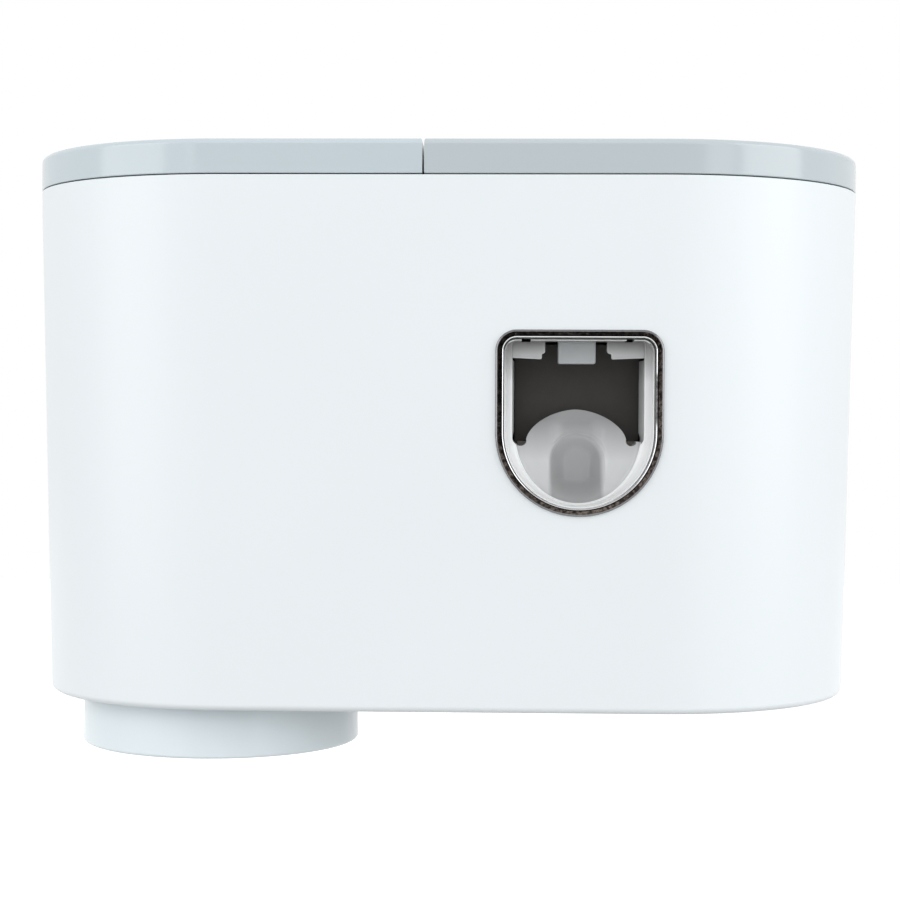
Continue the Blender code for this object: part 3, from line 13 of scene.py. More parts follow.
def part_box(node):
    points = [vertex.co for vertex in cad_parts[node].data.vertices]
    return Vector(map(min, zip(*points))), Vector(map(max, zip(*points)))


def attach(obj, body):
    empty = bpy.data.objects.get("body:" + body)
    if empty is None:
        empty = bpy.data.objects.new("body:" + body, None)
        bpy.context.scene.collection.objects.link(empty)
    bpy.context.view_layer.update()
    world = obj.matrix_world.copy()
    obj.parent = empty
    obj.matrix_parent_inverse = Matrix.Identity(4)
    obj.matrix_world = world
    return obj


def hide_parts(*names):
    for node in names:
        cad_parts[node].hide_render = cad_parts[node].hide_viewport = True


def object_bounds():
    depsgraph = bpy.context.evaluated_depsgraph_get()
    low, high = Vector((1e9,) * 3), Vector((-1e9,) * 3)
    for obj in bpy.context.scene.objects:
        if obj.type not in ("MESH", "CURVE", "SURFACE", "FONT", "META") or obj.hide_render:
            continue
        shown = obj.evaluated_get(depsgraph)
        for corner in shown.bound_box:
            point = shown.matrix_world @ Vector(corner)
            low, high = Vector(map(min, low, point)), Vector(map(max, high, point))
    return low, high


bl_info = {
    "name": "Toothbrush holder",
    "version": (1, 0, 0),
    "blender": (4, 5, 0),
    "location": "View3D > Sidebar > Holder",
    "description": "Surfaces, materials, lights and camera of a toothbrush holder",
    "category": "Object",
}

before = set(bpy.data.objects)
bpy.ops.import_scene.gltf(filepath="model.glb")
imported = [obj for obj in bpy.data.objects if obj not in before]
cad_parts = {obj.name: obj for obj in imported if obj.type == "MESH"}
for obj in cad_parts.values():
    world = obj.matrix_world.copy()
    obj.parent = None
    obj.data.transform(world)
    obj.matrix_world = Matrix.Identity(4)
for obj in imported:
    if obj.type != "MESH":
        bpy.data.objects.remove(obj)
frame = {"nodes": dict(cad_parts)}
CAD_BOUNDS = [list(corner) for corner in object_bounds()]
NODES = frame["nodes"]

MM = 0.001
PI = np.pi
SHARP_ANGLE = np.radians(35)
WELD_DISTANCE = 2e-6
NODE_WELD_DISTANCE = 5e-6


# ---------------------------------------------------------------- settings


def number(name, description, default, **more):
    return bpy.props.FloatProperty(
        name=name, description=description, default=default, min=0.0, **more
    )


def length(name, description, default):
    return number(name, description, default, unit="LENGTH", precision=4)


def colour(name, description, default):
    return bpy.props.FloatVectorProperty(
        name=name, description=description, default=default, size=3, min=0.0, max=1.0,
        subtype="COLOR",
    )


SHELL_LOW, SHELL_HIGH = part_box("front_shell")
LID_LOW, LID_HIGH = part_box("left_lid")
CUP_LOW, CUP_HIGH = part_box("rinse_cup")
TRIM_LOW, TRIM_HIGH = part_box("window_trim")
BEZEL_LOW, BEZEL_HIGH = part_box("window_bezel")
PUSHER_LOW, PUSHER_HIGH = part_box("pusher")
NOZZLE_LOW, NOZZLE_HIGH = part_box("nozzle")


class HolderSizes(bpy.types.PropertyGroup):
    """Sizes of the holder's surfaces."""

    body_width: length("Body width", "Outside width at the rim", SHELL_HIGH.x - SHELL_LOW.x)
    body_depth: length("Body depth", "From the wall to the front at the rim", -SHELL_LOW.y)
    body_tall: length("Body height", "From the bottom edge to the rim", SHELL_HIGH.z - SHELL_LOW.z)
    corner_radius: length("Corner radius", "Radius of the front corners at the rim", 58 * MM)
    side_draft: length("Side draft", "How much each side leans in toward the bottom", 3.1 * MM)
    front_draft: length("Front draft", "How much the front leans in toward the bottom", 1.9 * MM)
    shell_wall: length("Shell wall", "Thickness of the body's shell", 2.5 * MM)
    bottom_fillet: length("Bottom rounding", "Radius of the body's bottom edge", 1.8 * MM)
    rim_rounding: length("Rim rounding", "Radius of the body's rim", 0.35 * MM)
    lid_wall: length("Lid wall", "Thickness of the lids", 2.0 * MM)
    lid_rounding: length("Lid rounding", "Radius of the lids' outer top edge", 1.5 * MM)
    lid_joint_rounding: length("Lid joint rounding", "Radius where the lids meet", 0.4 * MM)
    lid_low_rounding: length("Lid lower rounding", "Radius of the lids' lower edge", 0.3 * MM)
    lid_gap: length("Lid gap", "Gap between the two lids", 0.5 * MM)
    knuckle_radius: length("Knuckle radius", "Radius of the hinge knuckles", 3.5 * MM)
    knuckle_width: length("Knuckle width", "Width of a lid's knuckle", 10.0 * MM)
    slot_width: length("Tube slot width", "Width of the slot for the tube", 56.0 * MM)
    slot_depth: length("Tube slot depth", "Depth of the slot for the tube", 26.0 * MM)
    slot_rounding: length("Tube slot rounding", "Radius of the slot's edge", 0.8 * MM)
    trim_width: length("Trim width", "Width of the window's ring", 2.1 * MM)
    trim_outer_rounding: length("Trim outer rounding", "Radius of its outer edge", 0.6 * MM)
    trim_inner_rounding: length("Trim inner rounding", "Radius of its inner edge", 0.42 * MM)
    trim_corner: length("Trim corner", "Radius of the ring's two top corners", 5.5 * MM)
    frame_mouth: length("Frame mouth", "Half width of the frame at its front", 19.35 * MM)
    frame_throat: length("Frame throat", "Half width of the frame at its back", 17.45 * MM)
    frame_low: length("Frame low", "Reach of the throat below the window's centre", 19.6 * MM)
    frame_funnel: length("Frame funnel", "Depth over which the frame narrows", 7.15 * MM)
    frame_lip: length("Frame lip", "How far its lip covers the pusher's edge", 0.85 * MM)
    frame_corner: length("Frame corner", "Radius of its top corners at its front", 3.0 * MM)
    frame_throat_corner: length("Throat corner", "Radius of the throat's top corners", 0.8 * MM)
    frame_edge: length("Frame edge", "Radius of the frame's inner edge", 0.45 * MM)
    bowl_low: length("Bowl low", "Reach of the bowl below the window's centre", 19.05 * MM)
    bowl_depth: length("Bowl depth", "Depth of the pusher's bowl", 15.0 * MM)
    bowl_rim: length("Bowl rim", "Width of the flat rim round the bowl", 0.3 * MM)
    niche_half: length("Niche half width", "Half width of the arched niche", 7.6 * MM)
    niche_depth: length("Niche depth", "Depth of the arched niche", 16.6 * MM)
    niche_slope: length("Niche slope", "Width of the niche's sloping sides", 4.8 * MM)
    cup_wall: length("Cup wall", "Thickness of the cup's wall", 2.0 * MM)
    cup_taper: length("Cup taper", "How much the cup narrows toward its base", 1.5 * MM)


class HolderColours(bpy.types.PropertyGroup):
    """Colours of the holder's finishes, and the shade and reflections painted into some of them."""

    body: colour("Body", "White of the body", (0.825, 0.876, 0.900))
    left_lid: colour("Left lid", "Pale grey of the left lid", (0.555, 0.635, 0.675))
    lid: colour("Lids", "Pale grey of the right lid and the rail", (0.515, 0.578, 0.608))
    cup: colour("Cup", "White of the cup", (0.785, 0.868, 0.905))
    inner: colour("Inner pieces", "White of the pieces inside and behind", (0.74, 0.76, 0.77))
    frame: colour("Window frame", "White of the frame behind the ring", (0.925, 0.94, 0.945))
    tab: colour("Tabs", "White of the tabs at the window's top", (0.72, 0.73, 0.735))
    pusher: colour("Pusher", "White of the pusher's bowl", (0.91, 0.925, 0.935))
    nozzle: colour("Nozzle", "Grey of the nozzle", (0.55, 0.585, 0.60))
    charcoal: colour("Charcoal", "Dark plastic of the dispenser's case", (0.080, 0.076, 0.072))
    silicone: colour("Silicone", "Pump bulb, valves and seal", (0.62, 0.64, 0.62))
    pad: colour("Adhesive pad", "Foam that sticks to the wall", (0.55, 0.57, 0.58))
    # Painted shade: the frame's grey toward the window's top stands in for the shadow under it.
    frame_shade: colour("Frame shade", "Window frame, at its top", (0.34, 0.34, 0.335))
    # Painted shade: the tabs' grey at their top stands in for the shadow under the window's top.
    tab_painted_shade: colour("Tab shade", "Tabs, at their top", (0.26, 0.26, 0.26))
    # Painted shade: the pusher's grey under its arch stands in for the shading inside the bowl.
    pusher_shade: colour("Pusher shade", "Pusher, under its arch", (0.40, 0.405, 0.41))
    # Painted shade: the niche's grey stands in for the shade inside the recess.
    niche: colour("Niche", "Pusher's niche", (0.54, 0.545, 0.55))
    # Painted reflection: a paler inner edge of the ring over the window.
    chrome_top: colour("Chrome top", "Ring's inner edge over the window", (0.72, 0.74, 0.745))
    chrome: colour("Chrome", "Plated ring round the window, inner edge", (0.66, 0.67, 0.68))
    # Painted reflection: the grey outer edge of the ring.
    chrome_edge: colour("Chrome edge", "Plated ring at its outer edge", (0.20, 0.20, 0.205))
    # Painted reflection: the dark band, standing in for the dark room that the chrome reflects.
    chrome_band: colour("Chrome band", "Dark of the ring's mottled band", (0.07, 0.07, 0.07))
    # Painted reflection: warm lights in the band.
    chrome_warm: colour("Chrome warm", "Warm light of the mottled band", (0.62, 0.57, 0.54))
    ledge: colour("Ledge", "Brown ledge behind the pusher's notches", (0.42, 0.37, 0.35))
    steel: colour("Steel", "Screws, pins and springs", (0.60, 0.61, 0.62))
    magnet: colour("Magnet", "Plated magnet over the cup", (0.20, 0.20, 0.21))


class HolderStage(bpy.types.PropertyGroup):
    """Floor, lamps and background."""

    floor_drop: length("Floor drop", "How far the floor lies under the holder", 0.30)
    surround: number("Surround", "Strength of the even light from all round", 0.744, max=1.0,
                     subtype="FACTOR")
    left_lamp: number("Left lamp", "Power of the soft lamp at the left", 3.95, unit="POWER")
    right_lamp: number("Right lamp", "Power of the soft lamp at the right", 4.6, unit="POWER")
    front_lamp: number("Front lamp", "Power of the wide lamp behind the camera", 2.7, unit="POWER")


# ---------------------------------------------------------------- surfaces


def between(start, end, share):
    return start + (end - start) * share


def eased(share):
    """A smooth step: 3 s s - 2 s s s, flat before 0 and after 1."""
    share = np.clip(share, 0, 1)
    return share * share * (3 - 2 * share)


def circle(sides):
    """The cosines and sines of a full turn."""
    turn = np.linspace(0, 2 * PI, sides, endpoint=False)
    return np.cos(turn), np.sin(turn)


def fillet(radius, steps=6):
    """Rows of (inset, drop) round a convex edge, from its flat face to its side."""
    turn = np.linspace(0, PI / 2, steps + 1)
    return radius * (1 - np.column_stack((np.sin(turn), np.cos(turn))))


def points_at(x, y, z):
    """Points from their coordinates, each an array or one value for all."""
    return np.stack(np.broadcast_arrays(x, y, z), axis=-1)


def raised(flat, z):
    """A line of (x, y) set at one height or at a height for each point."""
    return points_at(flat[..., 0], flat[..., 1], z)


def upright(line, y):
    """A line of (x, z) set at one depth or at a depth for each point."""
    return points_at(line[..., 0], y, line[..., 1])


def grid(points, close_rows=False, close_columns=False):
    """A sheet of quads over points in rows and columns, closed each way if asked."""
    rows, columns = points.shape[:2]
    i, j = np.meshgrid(np.arange(rows - (not close_rows)), np.arange(columns - (not close_columns)),
                       indexing="ij")
    row, next_row, after = i * columns, (i + 1) % rows * columns, (j + 1) % columns
    corners = (row + j, row + after, next_row + after, next_row + j)
    return points.reshape(-1, 3), np.stack(corners, axis=-1).reshape(-1, 4)


def fan(ring):
    """Triangles from a closed ring of points to its middle."""
    first = np.arange(len(ring))
    faces = np.stack((first, np.roll(first, -1), np.full_like(first, len(ring))), axis=-1)
    return np.vstack((ring, ring.mean(axis=0))), faces


def flat_cap(ring):
    """One flat face over a closed ring of points."""
    return ring, np.arange(len(ring))[None, :]


def merge(mesh, distance, outwards=False):
    """Joins a mesh's doubles. Outwards also drops slivers and turns its faces outwards."""
    work = bmesh.new()
    work.from_mesh(mesh)
    bmesh.ops.remove_doubles(work, verts=work.verts, dist=distance)
    if outwards:
        bmesh.ops.dissolve_degenerate(work, edges=work.edges, dist=distance)
        bmesh.ops.recalc_face_normals(work, faces=work.faces)
    work.to_mesh(mesh)
    work.free()


def smooth(mesh):
    """Smooth but for edges sharper than SHARP_ANGLE."""
    mesh.shade_smooth()
    mesh.set_sharp_from_angle(angle=SHARP_ANGLE)


def linked(name, data):
    made = bpy.data.objects.new(name, data)
    bpy.context.scene.collection.objects.link(made)
    return made


def shape(name, sheets):
    """Sheets welded into one piece."""
    points, faces, count = [], [], 0
    for sheet_points, sheet_faces in sheets:
        points.append(sheet_points)
        faces += (sheet_faces + count).tolist()
        count += len(sheet_points)
    mesh = bpy.data.meshes.new(name)
    mesh.from_pydata(np.vstack(points).tolist(), [], faces)
    merge(mesh, WELD_DISTANCE, outwards=True)
    smooth(mesh)
    return linked(name, mesh)


def solid(name, rings):
    """Rings carried from one end to the other, with a fan over each end."""
    rings = np.stack(rings)
    return shape(name, [grid(rings, close_columns=True), fan(rings[0]), fan(rings[-1])])


def hoop(name, rings):
    """Rings whose last meets the first."""
    return shape(name, [grid(np.stack(rings), close_rows=True, close_columns=True)])


def welded_copy(name, new_name):
    """A node's mesh as a new piece, with its loose triangles joined."""
    mesh = NODES[name].data.copy()
    merge(mesh, NODE_WELD_DISTANCE)
    return linked(new_name, mesh)


def middle_of(name):
    low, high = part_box(name)
    return (low + high) / 2


def carve(piece, helpers, operation="DIFFERENCE"):
    """Cuts helper shapes out of a piece, or joins them to it, and takes the helpers away."""
    for helper in helpers:
        modifier = piece.modifiers.new("Carve", "BOOLEAN")
        modifier.operation = operation
        modifier.solver = "EXACT"
        modifier.object = helper
    graph = bpy.context.evaluated_depsgraph_get()
    mesh = bpy.data.meshes.new_from_object(piece.evaluated_get(graph))
    piece.modifiers.clear()
    piece.data = mesh
    smooth(mesh)
    for helper in helpers:
        bpy.data.objects.remove(helper, do_unlink=True)


def block(name, low, high):
    """A plain box used as a cutting helper."""
    (left, right), (near, far), heights = zip(low, high)
    ring = np.array([(left, near), (right, near), (right, far), (left, far)])
    return solid(name, [raised(ring, z) for z in heights])


def level_rod(name, x_low, x_high, y, z, radius, sides=48):
    """A round rod along x."""
    across, up = circle(sides)
    x = np.array([[x_low], [x_high]])
    return solid(name, points_at(x, y + radius * across, z + radius * up))


def turned(name, middle, profile, sides):
    """A profile of (radius, height) turned about an upright axis."""
    across, along = circle(sides)
    radius, height = np.array(profile).T[:, :, None]
    return solid(name, points_at(middle.x + radius * across, middle.y + radius * along, height))


def lean(z, sizes):
    """0 at the rim and 1 at the bottom edge."""
    rim = SHELL_HIGH.z
    return (rim - np.minimum(z, rim)) / sizes.body_tall


def body_plan(along, z, inset, sizes):
    """The body's plan line at a height; along is measured from the middle of the front.

    The line runs straight over the flat front, turns a quarter round of the corner radius on each
    side and runs straight back to the wall. Its half width, depth and radius shrink with the draft
    and the inset.
    """
    share = lean(z, sizes)
    half = sizes.body_width / 2 - sizes.side_draft * share - inset
    front = sizes.body_depth - sizes.front_draft * share - inset
    radius = sizes.corner_radius - sizes.side_draft * share - inset
    flat = sizes.body_width / 2 - sizes.corner_radius
    away = np.abs(along)
    turn = np.clip((away - flat) / sizes.corner_radius, 0, PI / 2)
    corner_end = flat + sizes.corner_radius * PI / 2
    run = (away - corner_end) / (sizes.body_depth - sizes.corner_radius + SHELL_HIGH.y)
    run = np.clip(run, 0, 1)
    x = np.minimum(away, flat) + radius * np.sin(turn)
    y = radius - front - radius * np.cos(turn)
    y = y + run * (SHELL_HIGH.y - (radius - front))
    return points_at(np.sign(along) * np.where(run > 0, half, x), y, z)


def front_face(z, sizes):
    """The y of the body's flat front at a height."""
    return -(sizes.body_depth - sizes.front_draft * lean(z, sizes))


# The solids' window, and the same window drawn a little smaller and to the left, as in the photo.
SOLID_HALF = (TRIM_HIGH.x - TRIM_LOW.x) / 2
PUSHER_X = (TRIM_LOW.x + TRIM_HIGH.x) / 2
PUSHER_ROUND = TRIM_LOW.z + SOLID_HALF - 0.15 * MM
WINDOW_X = PUSHER_X - 0.2 * MM
WINDOW_TOP = TRIM_HIGH.z - 0.25 * MM
WINDOW_ROUND = TRIM_LOW.z + SOLID_HALF + 0.2 * MM
TRIM_HALF = SOLID_HALF - 0.25 * MM
STROKE = 12 * MM
# Middle, from the pusher's, and half width of the narrow slots at the window's top.
SLOTS = ((-14.1 * MM, 1.2 * MM), (13.1 * MM, 1.0 * MM))


def slot_blocks(*ends):
    """Cutting blocks for the slots, from their low and high ends as (y, z)."""
    return [block("slot", *((PUSHER_X + x + side * half, *end) for side, end in zip((-1, 1), ends)))
            for x, half in SLOTS]


def window_line(half, top, corner, deep=None):
    """The window's closed line as (x, z).

    Two quarter rounds above, straight sides, and half an ellipse below that reaches down by deep,
    which is the half width where nothing else is given: a half round.
    """
    deep = half if deep is None else deep
    quarter = np.linspace(0, PI / 2, 15)
    round_x, round_z = corner * np.cos(quarter), corner * np.sin(quarter)
    low = np.linspace(PI, 2 * PI, 121)
    across, down = np.linspace(1, -1, 13)[1:-1], np.linspace(0, 1, 13)[1:-1]
    shoulder = top - corner
    fall, side = (WINDOW_ROUND - shoulder) * down, np.full(len(down), half)
    x = [half - corner + round_x, (half - corner) * across, corner - half - round_z, -side,
         half * np.cos(low), side]
    z = [shoulder + round_z, np.full(len(across), top), shoulder + round_x, shoulder + fall,
         WINDOW_ROUND + deep * np.sin(low), WINDOW_ROUND - fall]
    return np.column_stack((WINDOW_X + np.concatenate(x), np.concatenate(z)))


def window_ring(half, top, corner, y, deep=None):
    return upright(window_line(half, top, corner, deep), y)


def rounded_line(corners, steps=6):
    """A closed line through corners of (x, z, radius in mm), each rounded by a square curve."""
    points = np.array([corner[:2] for corner in corners])
    radii = np.array([corner[2] for corner in corners]) * MM
    before, after = (np.roll(points, side, axis=0) - points for side in (1, -1))
    before /= np.linalg.norm(before, axis=1)[:, None]
    after /= np.linalg.norm(after, axis=1)[:, None]
    share = np.linspace(0, 1, steps + 1)[None, :, None]
    start, end = ((points + way * radii[:, None])[:, None] for way in (before, after))
    bend = (1 - share) ** 2 * start + 2 * share * (1 - share) * points[:, None] + share ** 2 * end
    return bend.reshape(-1, 2)


def drawn_in(line, inset):
    """A closed line moved toward its inside by an inset, along the mean normal at each point."""
    ahead = np.roll(line, -1, axis=0) - np.roll(line, 1, axis=0)
    normal = np.column_stack((ahead[:, 1], -ahead[:, 0])) / np.linalg.norm(ahead, axis=1)[:, None]
    turn = np.sum(line[:, 0] * np.roll(line[:, 1], -1) - np.roll(line[:, 0], -1) * line[:, 1])
    return line - np.sign(turn) * normal * inset


# ---------------------------------------------------------------- materials


def fill(socket, value):
    """Links another socket to this one, or gives it a value."""
    if isinstance(value, bpy.types.NodeSocket):
        socket.id_data.links.new(value, socket)
    else:
        socket.default_value = value


def give(made, **inputs):
    """Fills a node's inputs by their names, written with _ for a space."""
    for name, value in inputs.items():
        fill(made.inputs[name.replace("_", " ")], value)
    return made


def node(tree, kind, **inputs):
    return give(tree.nodes.new(kind), **inputs)


def reckon(tree, operation, *values, kind="ShaderNodeMath"):
    """One step of arithmetic on sockets or values."""
    made = tree.nodes.new(kind)
    made.operation = operation
    for socket, value in zip(made.inputs, values):
        fill(socket, value)
    return made.outputs["Value"]


def product(tree, first, *others):
    """Masks multiplied together."""
    for other in others:
        first = reckon(tree, "MULTIPLY", first, other)
    return first


def spread(tree, value, low, high, to_low=0.0, to_high=1.0):
    """The stretch from low to high spread over 0 to 1, or over another stretch."""
    return node(tree, "ShaderNodeMapRange", Value=value, From_Min=low, From_Max=high,
                To_Min=to_low, To_Max=to_high).outputs["Result"]


def own_place(tree):
    """The piece's own coordinates."""
    return node(tree, "ShaderNodeTexCoord").outputs["Object"]


def own_axes(tree):
    """The x, y and z of those."""
    return node(tree, "ShaderNodeSeparateXYZ", Vector=own_place(tree)).outputs


def away_from(tree, point):
    """The distance from a point."""
    return reckon(tree, "DISTANCE", own_place(tree), point, kind="ShaderNodeVectorMath")


def noise(tree, place, scale, **more):
    return node(tree, "ShaderNodeTexNoise", Vector=place, Scale=scale, **more).outputs["Fac"]


def mixed(tree, mask, low, high):
    """Two colours, or sockets that give them, mixed by a mask."""
    made = tree.nodes.new("ShaderNodeMix")
    made.data_type = "RGBA"
    give(made, Factor=mask)
    ends = [socket for socket in made.inputs if socket.type == "RGBA"]
    for socket, tint in zip(ends, (low, high)):
        fill(socket, tint if isinstance(tint, bpy.types.NodeSocket) else (*tint, 1.0))
    return next(socket for socket in made.outputs if socket.type == "RGBA")


def relief(tree, height, distance):
    bump = node(tree, "ShaderNodeBump", Height=height, Strength=1.0, Distance=distance)
    return bump.outputs["Normal"]


def new_group(name, sizes, outputs):
    """A shared node group: a place and sizes in metres go in, values that vary come out."""
    group = bpy.data.node_groups.new(name, "ShaderNodeTree")
    group.interface.new_socket("Place", in_out="INPUT", socket_type="NodeSocketVector")
    for label, default in sizes.items():
        socket = group.interface.new_socket(label, in_out="INPUT", socket_type="NodeSocketFloat")
        socket.default_value = default
    for label in outputs:
        group.interface.new_socket(label, in_out="OUTPUT", socket_type="NodeSocketFloat")
    given, out = group.nodes.new("NodeGroupInput"), group.nodes.new("NodeGroupOutput")
    return group, given.outputs, out


def moulded_surface():
    """Moulded plastic: a fine orange peel, a slow mottle and the smudges of handling."""
    sizes = {"Peel Size": 0.9 * MM, "Mottle Size": 30 * MM}
    group, given, out = new_group("moulded surface", sizes, ("Height", "Mottle", "Smudge"))
    place = given["Place"]
    fine = reckon(group, "DIVIDE", 1.0, given["Peel Size"])
    slow = reckon(group, "DIVIDE", 1.0, given["Mottle Size"])
    mottle = noise(group, place, slow, Detail=3.0)
    smudge = noise(group, place, slow, Detail=4.0, Distortion=0.3)
    give(out, Height=noise(group, place, fine, Detail=2.0), Mottle=spread(group, mottle, 0.3, 0.7),
         Smudge=spread(group, smudge, 0.25, 0.80))
    return group


def fine_scratches():
    """Thin crossing hairlines on metal: two noises stretched at right angles, added."""
    group, given, out = new_group("fine scratches", {"Spacing": 0.6 * MM}, ("Height", "Mask"))
    scale = reckon(group, "DIVIDE", 1.0, given["Spacing"])
    lines = []
    for stretch in ((0.04, 1.0, 1.0), (1.0, 1.0, 0.04)):
        mapped = node(group, "ShaderNodeMapping", Vector=given["Place"], Scale=stretch)
        lines.append(noise(group, mapped.outputs["Vector"], scale, Detail=3.0))
    crossed = reckon(group, "ADD", *lines)
    give(out, Height=crossed, Mask=spread(group, crossed, 0.95, 1.35))
    return group


GROUPS = {}


def group_in(tree, maker, **sizes):
    """Places a shared node group, built once, in a material."""
    if maker not in GROUPS:
        GROUPS[maker] = maker()
    made = tree.nodes.new("ShaderNodeGroup")
    made.node_tree = GROUPS[maker]
    return give(made, Place=own_place(tree), **sizes).outputs


def new_material(name):
    made = bpy.data.materials.new(name)
    made.use_nodes = True
    return made, made.node_tree, made.node_tree.nodes["Principled BSDF"]


def plastic(name, tint, rough, peel=0.9 * MM, mottle=30 * MM, depth=0.006 * MM, shade=0.985,
            spec=0.5, sheen=0.0):
    """Moulded plastic with orange peel, a faint mottle in its colour and smudges in its gloss."""
    made, tree, shader = new_material(name)
    surface = group_in(tree, moulded_surface, Peel_Size=peel, Mottle_Size=mottle)
    darker = [channel * shade for channel in tint]
    give(shader, Base_Color=mixed(tree, surface["Mottle"], darker, tint),
         Roughness=spread(tree, surface["Smudge"], 0.0, 1.0, rough - 0.015, rough + 0.03),
         Specular_IOR_Level=spec, Sheen_Weight=sheen,
         Normal=relief(tree, surface["Height"], depth))
    return made


def toned(made, mask, tint):
    """Mixes another colour into a plastic by a mask, 1 where that colour is to show."""
    tree = made.node_tree
    colour_in = tree.nodes["Principled BSDF"].inputs["Base Color"]
    fill(colour_in, mixed(tree, mask, colour_in.links[0].from_socket, tint))
    return made


def below_top(tree, z, low, high):
    """A mask that rises from 0 to 1 between two depths, in mm, below the window's top."""
    return spread(tree, z, WINDOW_TOP - low * MM, WINDOW_TOP - high * MM)


def frame_plastic(name, tint, rough, **more):
    """White plastic with painted shade that darkens it toward the window's top, but for the lip over
    the window.
    """
    made = plastic(name, tint, rough, **more)
    tree, colours = made.node_tree, bpy.context.scene.holder_colours
    axes = own_axes(tree)
    # Painted shade toward the window's top; the lip at the front is then left white.
    toned(made, below_top(tree, axes["Z"], 13.5, 3.2), colours.frame_shade)
    front = spread(tree, axes["Y"], BEZEL_LOW.y + 0.6 * MM, BEZEL_LOW.y + 0.3 * MM)
    return toned(made, product(tree, front, below_top(tree, axes["Z"], 3.6, 3.1)), tint)


def tab_plastic(name, tint, rough, **more):
    """Pale plastic with painted shade that darkens it toward the window's top."""
    made = plastic(name, tint, rough, **more)
    tree = made.node_tree
    # Painted shade, darker toward the window's top.
    mask = below_top(tree, own_axes(tree)["Z"], 6.2, 2.4)
    return toned(made, mask, bpy.context.scene.holder_colours.tab_painted_shade)


def pusher_plastic(name, tint, rough, **more):
    """White plastic with painted shade that darkens it up to the arch and in the niche.

    The niche is a shape like an arched door: a point's distance from the middle line below, and
    from the arch's middle above.
    """
    made = plastic(name, tint, rough, **more)
    tree, scene = made.node_tree, bpy.context.scene
    axes, arch = own_axes(tree), scene.holder_sizes.niche_half
    shade_low, shade_high, flat_half = PUSHER_ROUND - 7.5 * MM, PUSHER_ROUND + 4 * MM, 6.4 * MM
    # Painted shade, darker from the bowl's lower sides up to the arch.
    mask = spread(tree, axes["Z"], shade_low, shade_high)
    toned(made, mask, scene.holder_colours.pusher_shade)
    # Painted shade in the niche, shaped like an arched door.
    above = spread(tree, axes["Z"], PUSHER_ROUND - arch, PUSHER_ROUND, 0, arch)
    reach = node(tree, "ShaderNodeCombineXYZ",
                 X=reckon(tree, "SUBTRACT", axes["X"], PUSHER_X + NICHE_SHIFT),
                 Y=reckon(tree, "MAXIMUM", above, 0)).outputs[0]
    away = reckon(tree, "LENGTH", reach, kind="ShaderNodeVectorMath")
    return toned(made, spread(tree, away, arch, flat_half), scene.holder_colours.niche)


def metal(name, tint, rough, spacing=0.6 * MM, depth=0.002 * MM):
    """Plated metal with hairlines that show in its gloss and relief."""
    made, tree, shader = new_material(name)
    lines = group_in(tree, fine_scratches, Spacing=spacing)
    darker = [channel * 0.93 for channel in tint]
    give(shader, Base_Color=mixed(tree, lines["Mask"], tint, darker), Metallic=1.0,
         Roughness=spread(tree, lines["Mask"], 0.0, 1.0, rough, rough + 0.12),
         Normal=relief(tree, lines["Height"], depth))
    return made


def plated(name, tint, rough):
    """Chrome that changes from the ring's outer edge, across 0, to its inner edge, across 1.

    Painted reflections: a grey outer edge, a mottled smoky band that darkens inward and a bright
    inner edge, which is paler over the window and smoky on a stretch at the right, colours that stand
    in for what the chrome reflects. A slight waviness lies on all of it.
    """
    made, tree, shader = new_material(name)
    colours = bpy.context.scene.holder_colours
    lines = group_in(tree, fine_scratches, Spacing=1.0 * MM)
    surface = group_in(tree, moulded_surface, Peel_Size=0.9 * MM, Mottle_Size=0.9 * MM)
    across = node(tree, "ShaderNodeAttribute")
    across.attribute_name = "across"
    across, axes = across.outputs["Fac"], own_axes(tree)
    mottle = spread(tree, surface["Mottle"], 0.25, 0.75)
    # The band's grey edge, warm lights and dark are painted reflections.
    edge_to_band, band_to_dark, dark_to_inner = (0.20, 0.42), (0.62, 0.76), (0.80, 0.86)
    band = mixed(tree, mottle, colours.chrome_band, colours.chrome_warm)
    band = mixed(tree, spread(tree, across, *edge_to_band), colours.chrome_edge, band)
    band = mixed(tree, spread(tree, across, *band_to_dark), band, colours.chrome_band)
    # Painted reflection: the inner edge is paler over the window.
    inner = mixed(tree, below_top(tree, axes["Z"], 2.9, 2.3), tint, colours.chrome_top)
    # Painted reflection: a smoky stretch of the inner edge at the right.
    right = product(tree, spread(tree, axes["X"], WINDOW_X + 19.2 * MM, WINDOW_X + 19.6 * MM),
                    spread(tree, axes["Z"], WINDOW_ROUND + 1.5 * MM, WINDOW_ROUND + 3 * MM),
                    below_top(tree, axes["Z"], 11, 12))
    inner = mixed(tree, right, inner,
                  mixed(tree, mottle, colours.chrome_band, colours.chrome_edge))
    band = mixed(tree, spread(tree, across, *dark_to_inner), band, inner)
    give(shader, Base_Color=band, Metallic=1.0,
         Roughness=spread(tree, lines["Mask"], 0.0, 1.0, rough, 0.20),
         Normal=relief(tree, surface["Height"], 0.02 * MM))
    return made


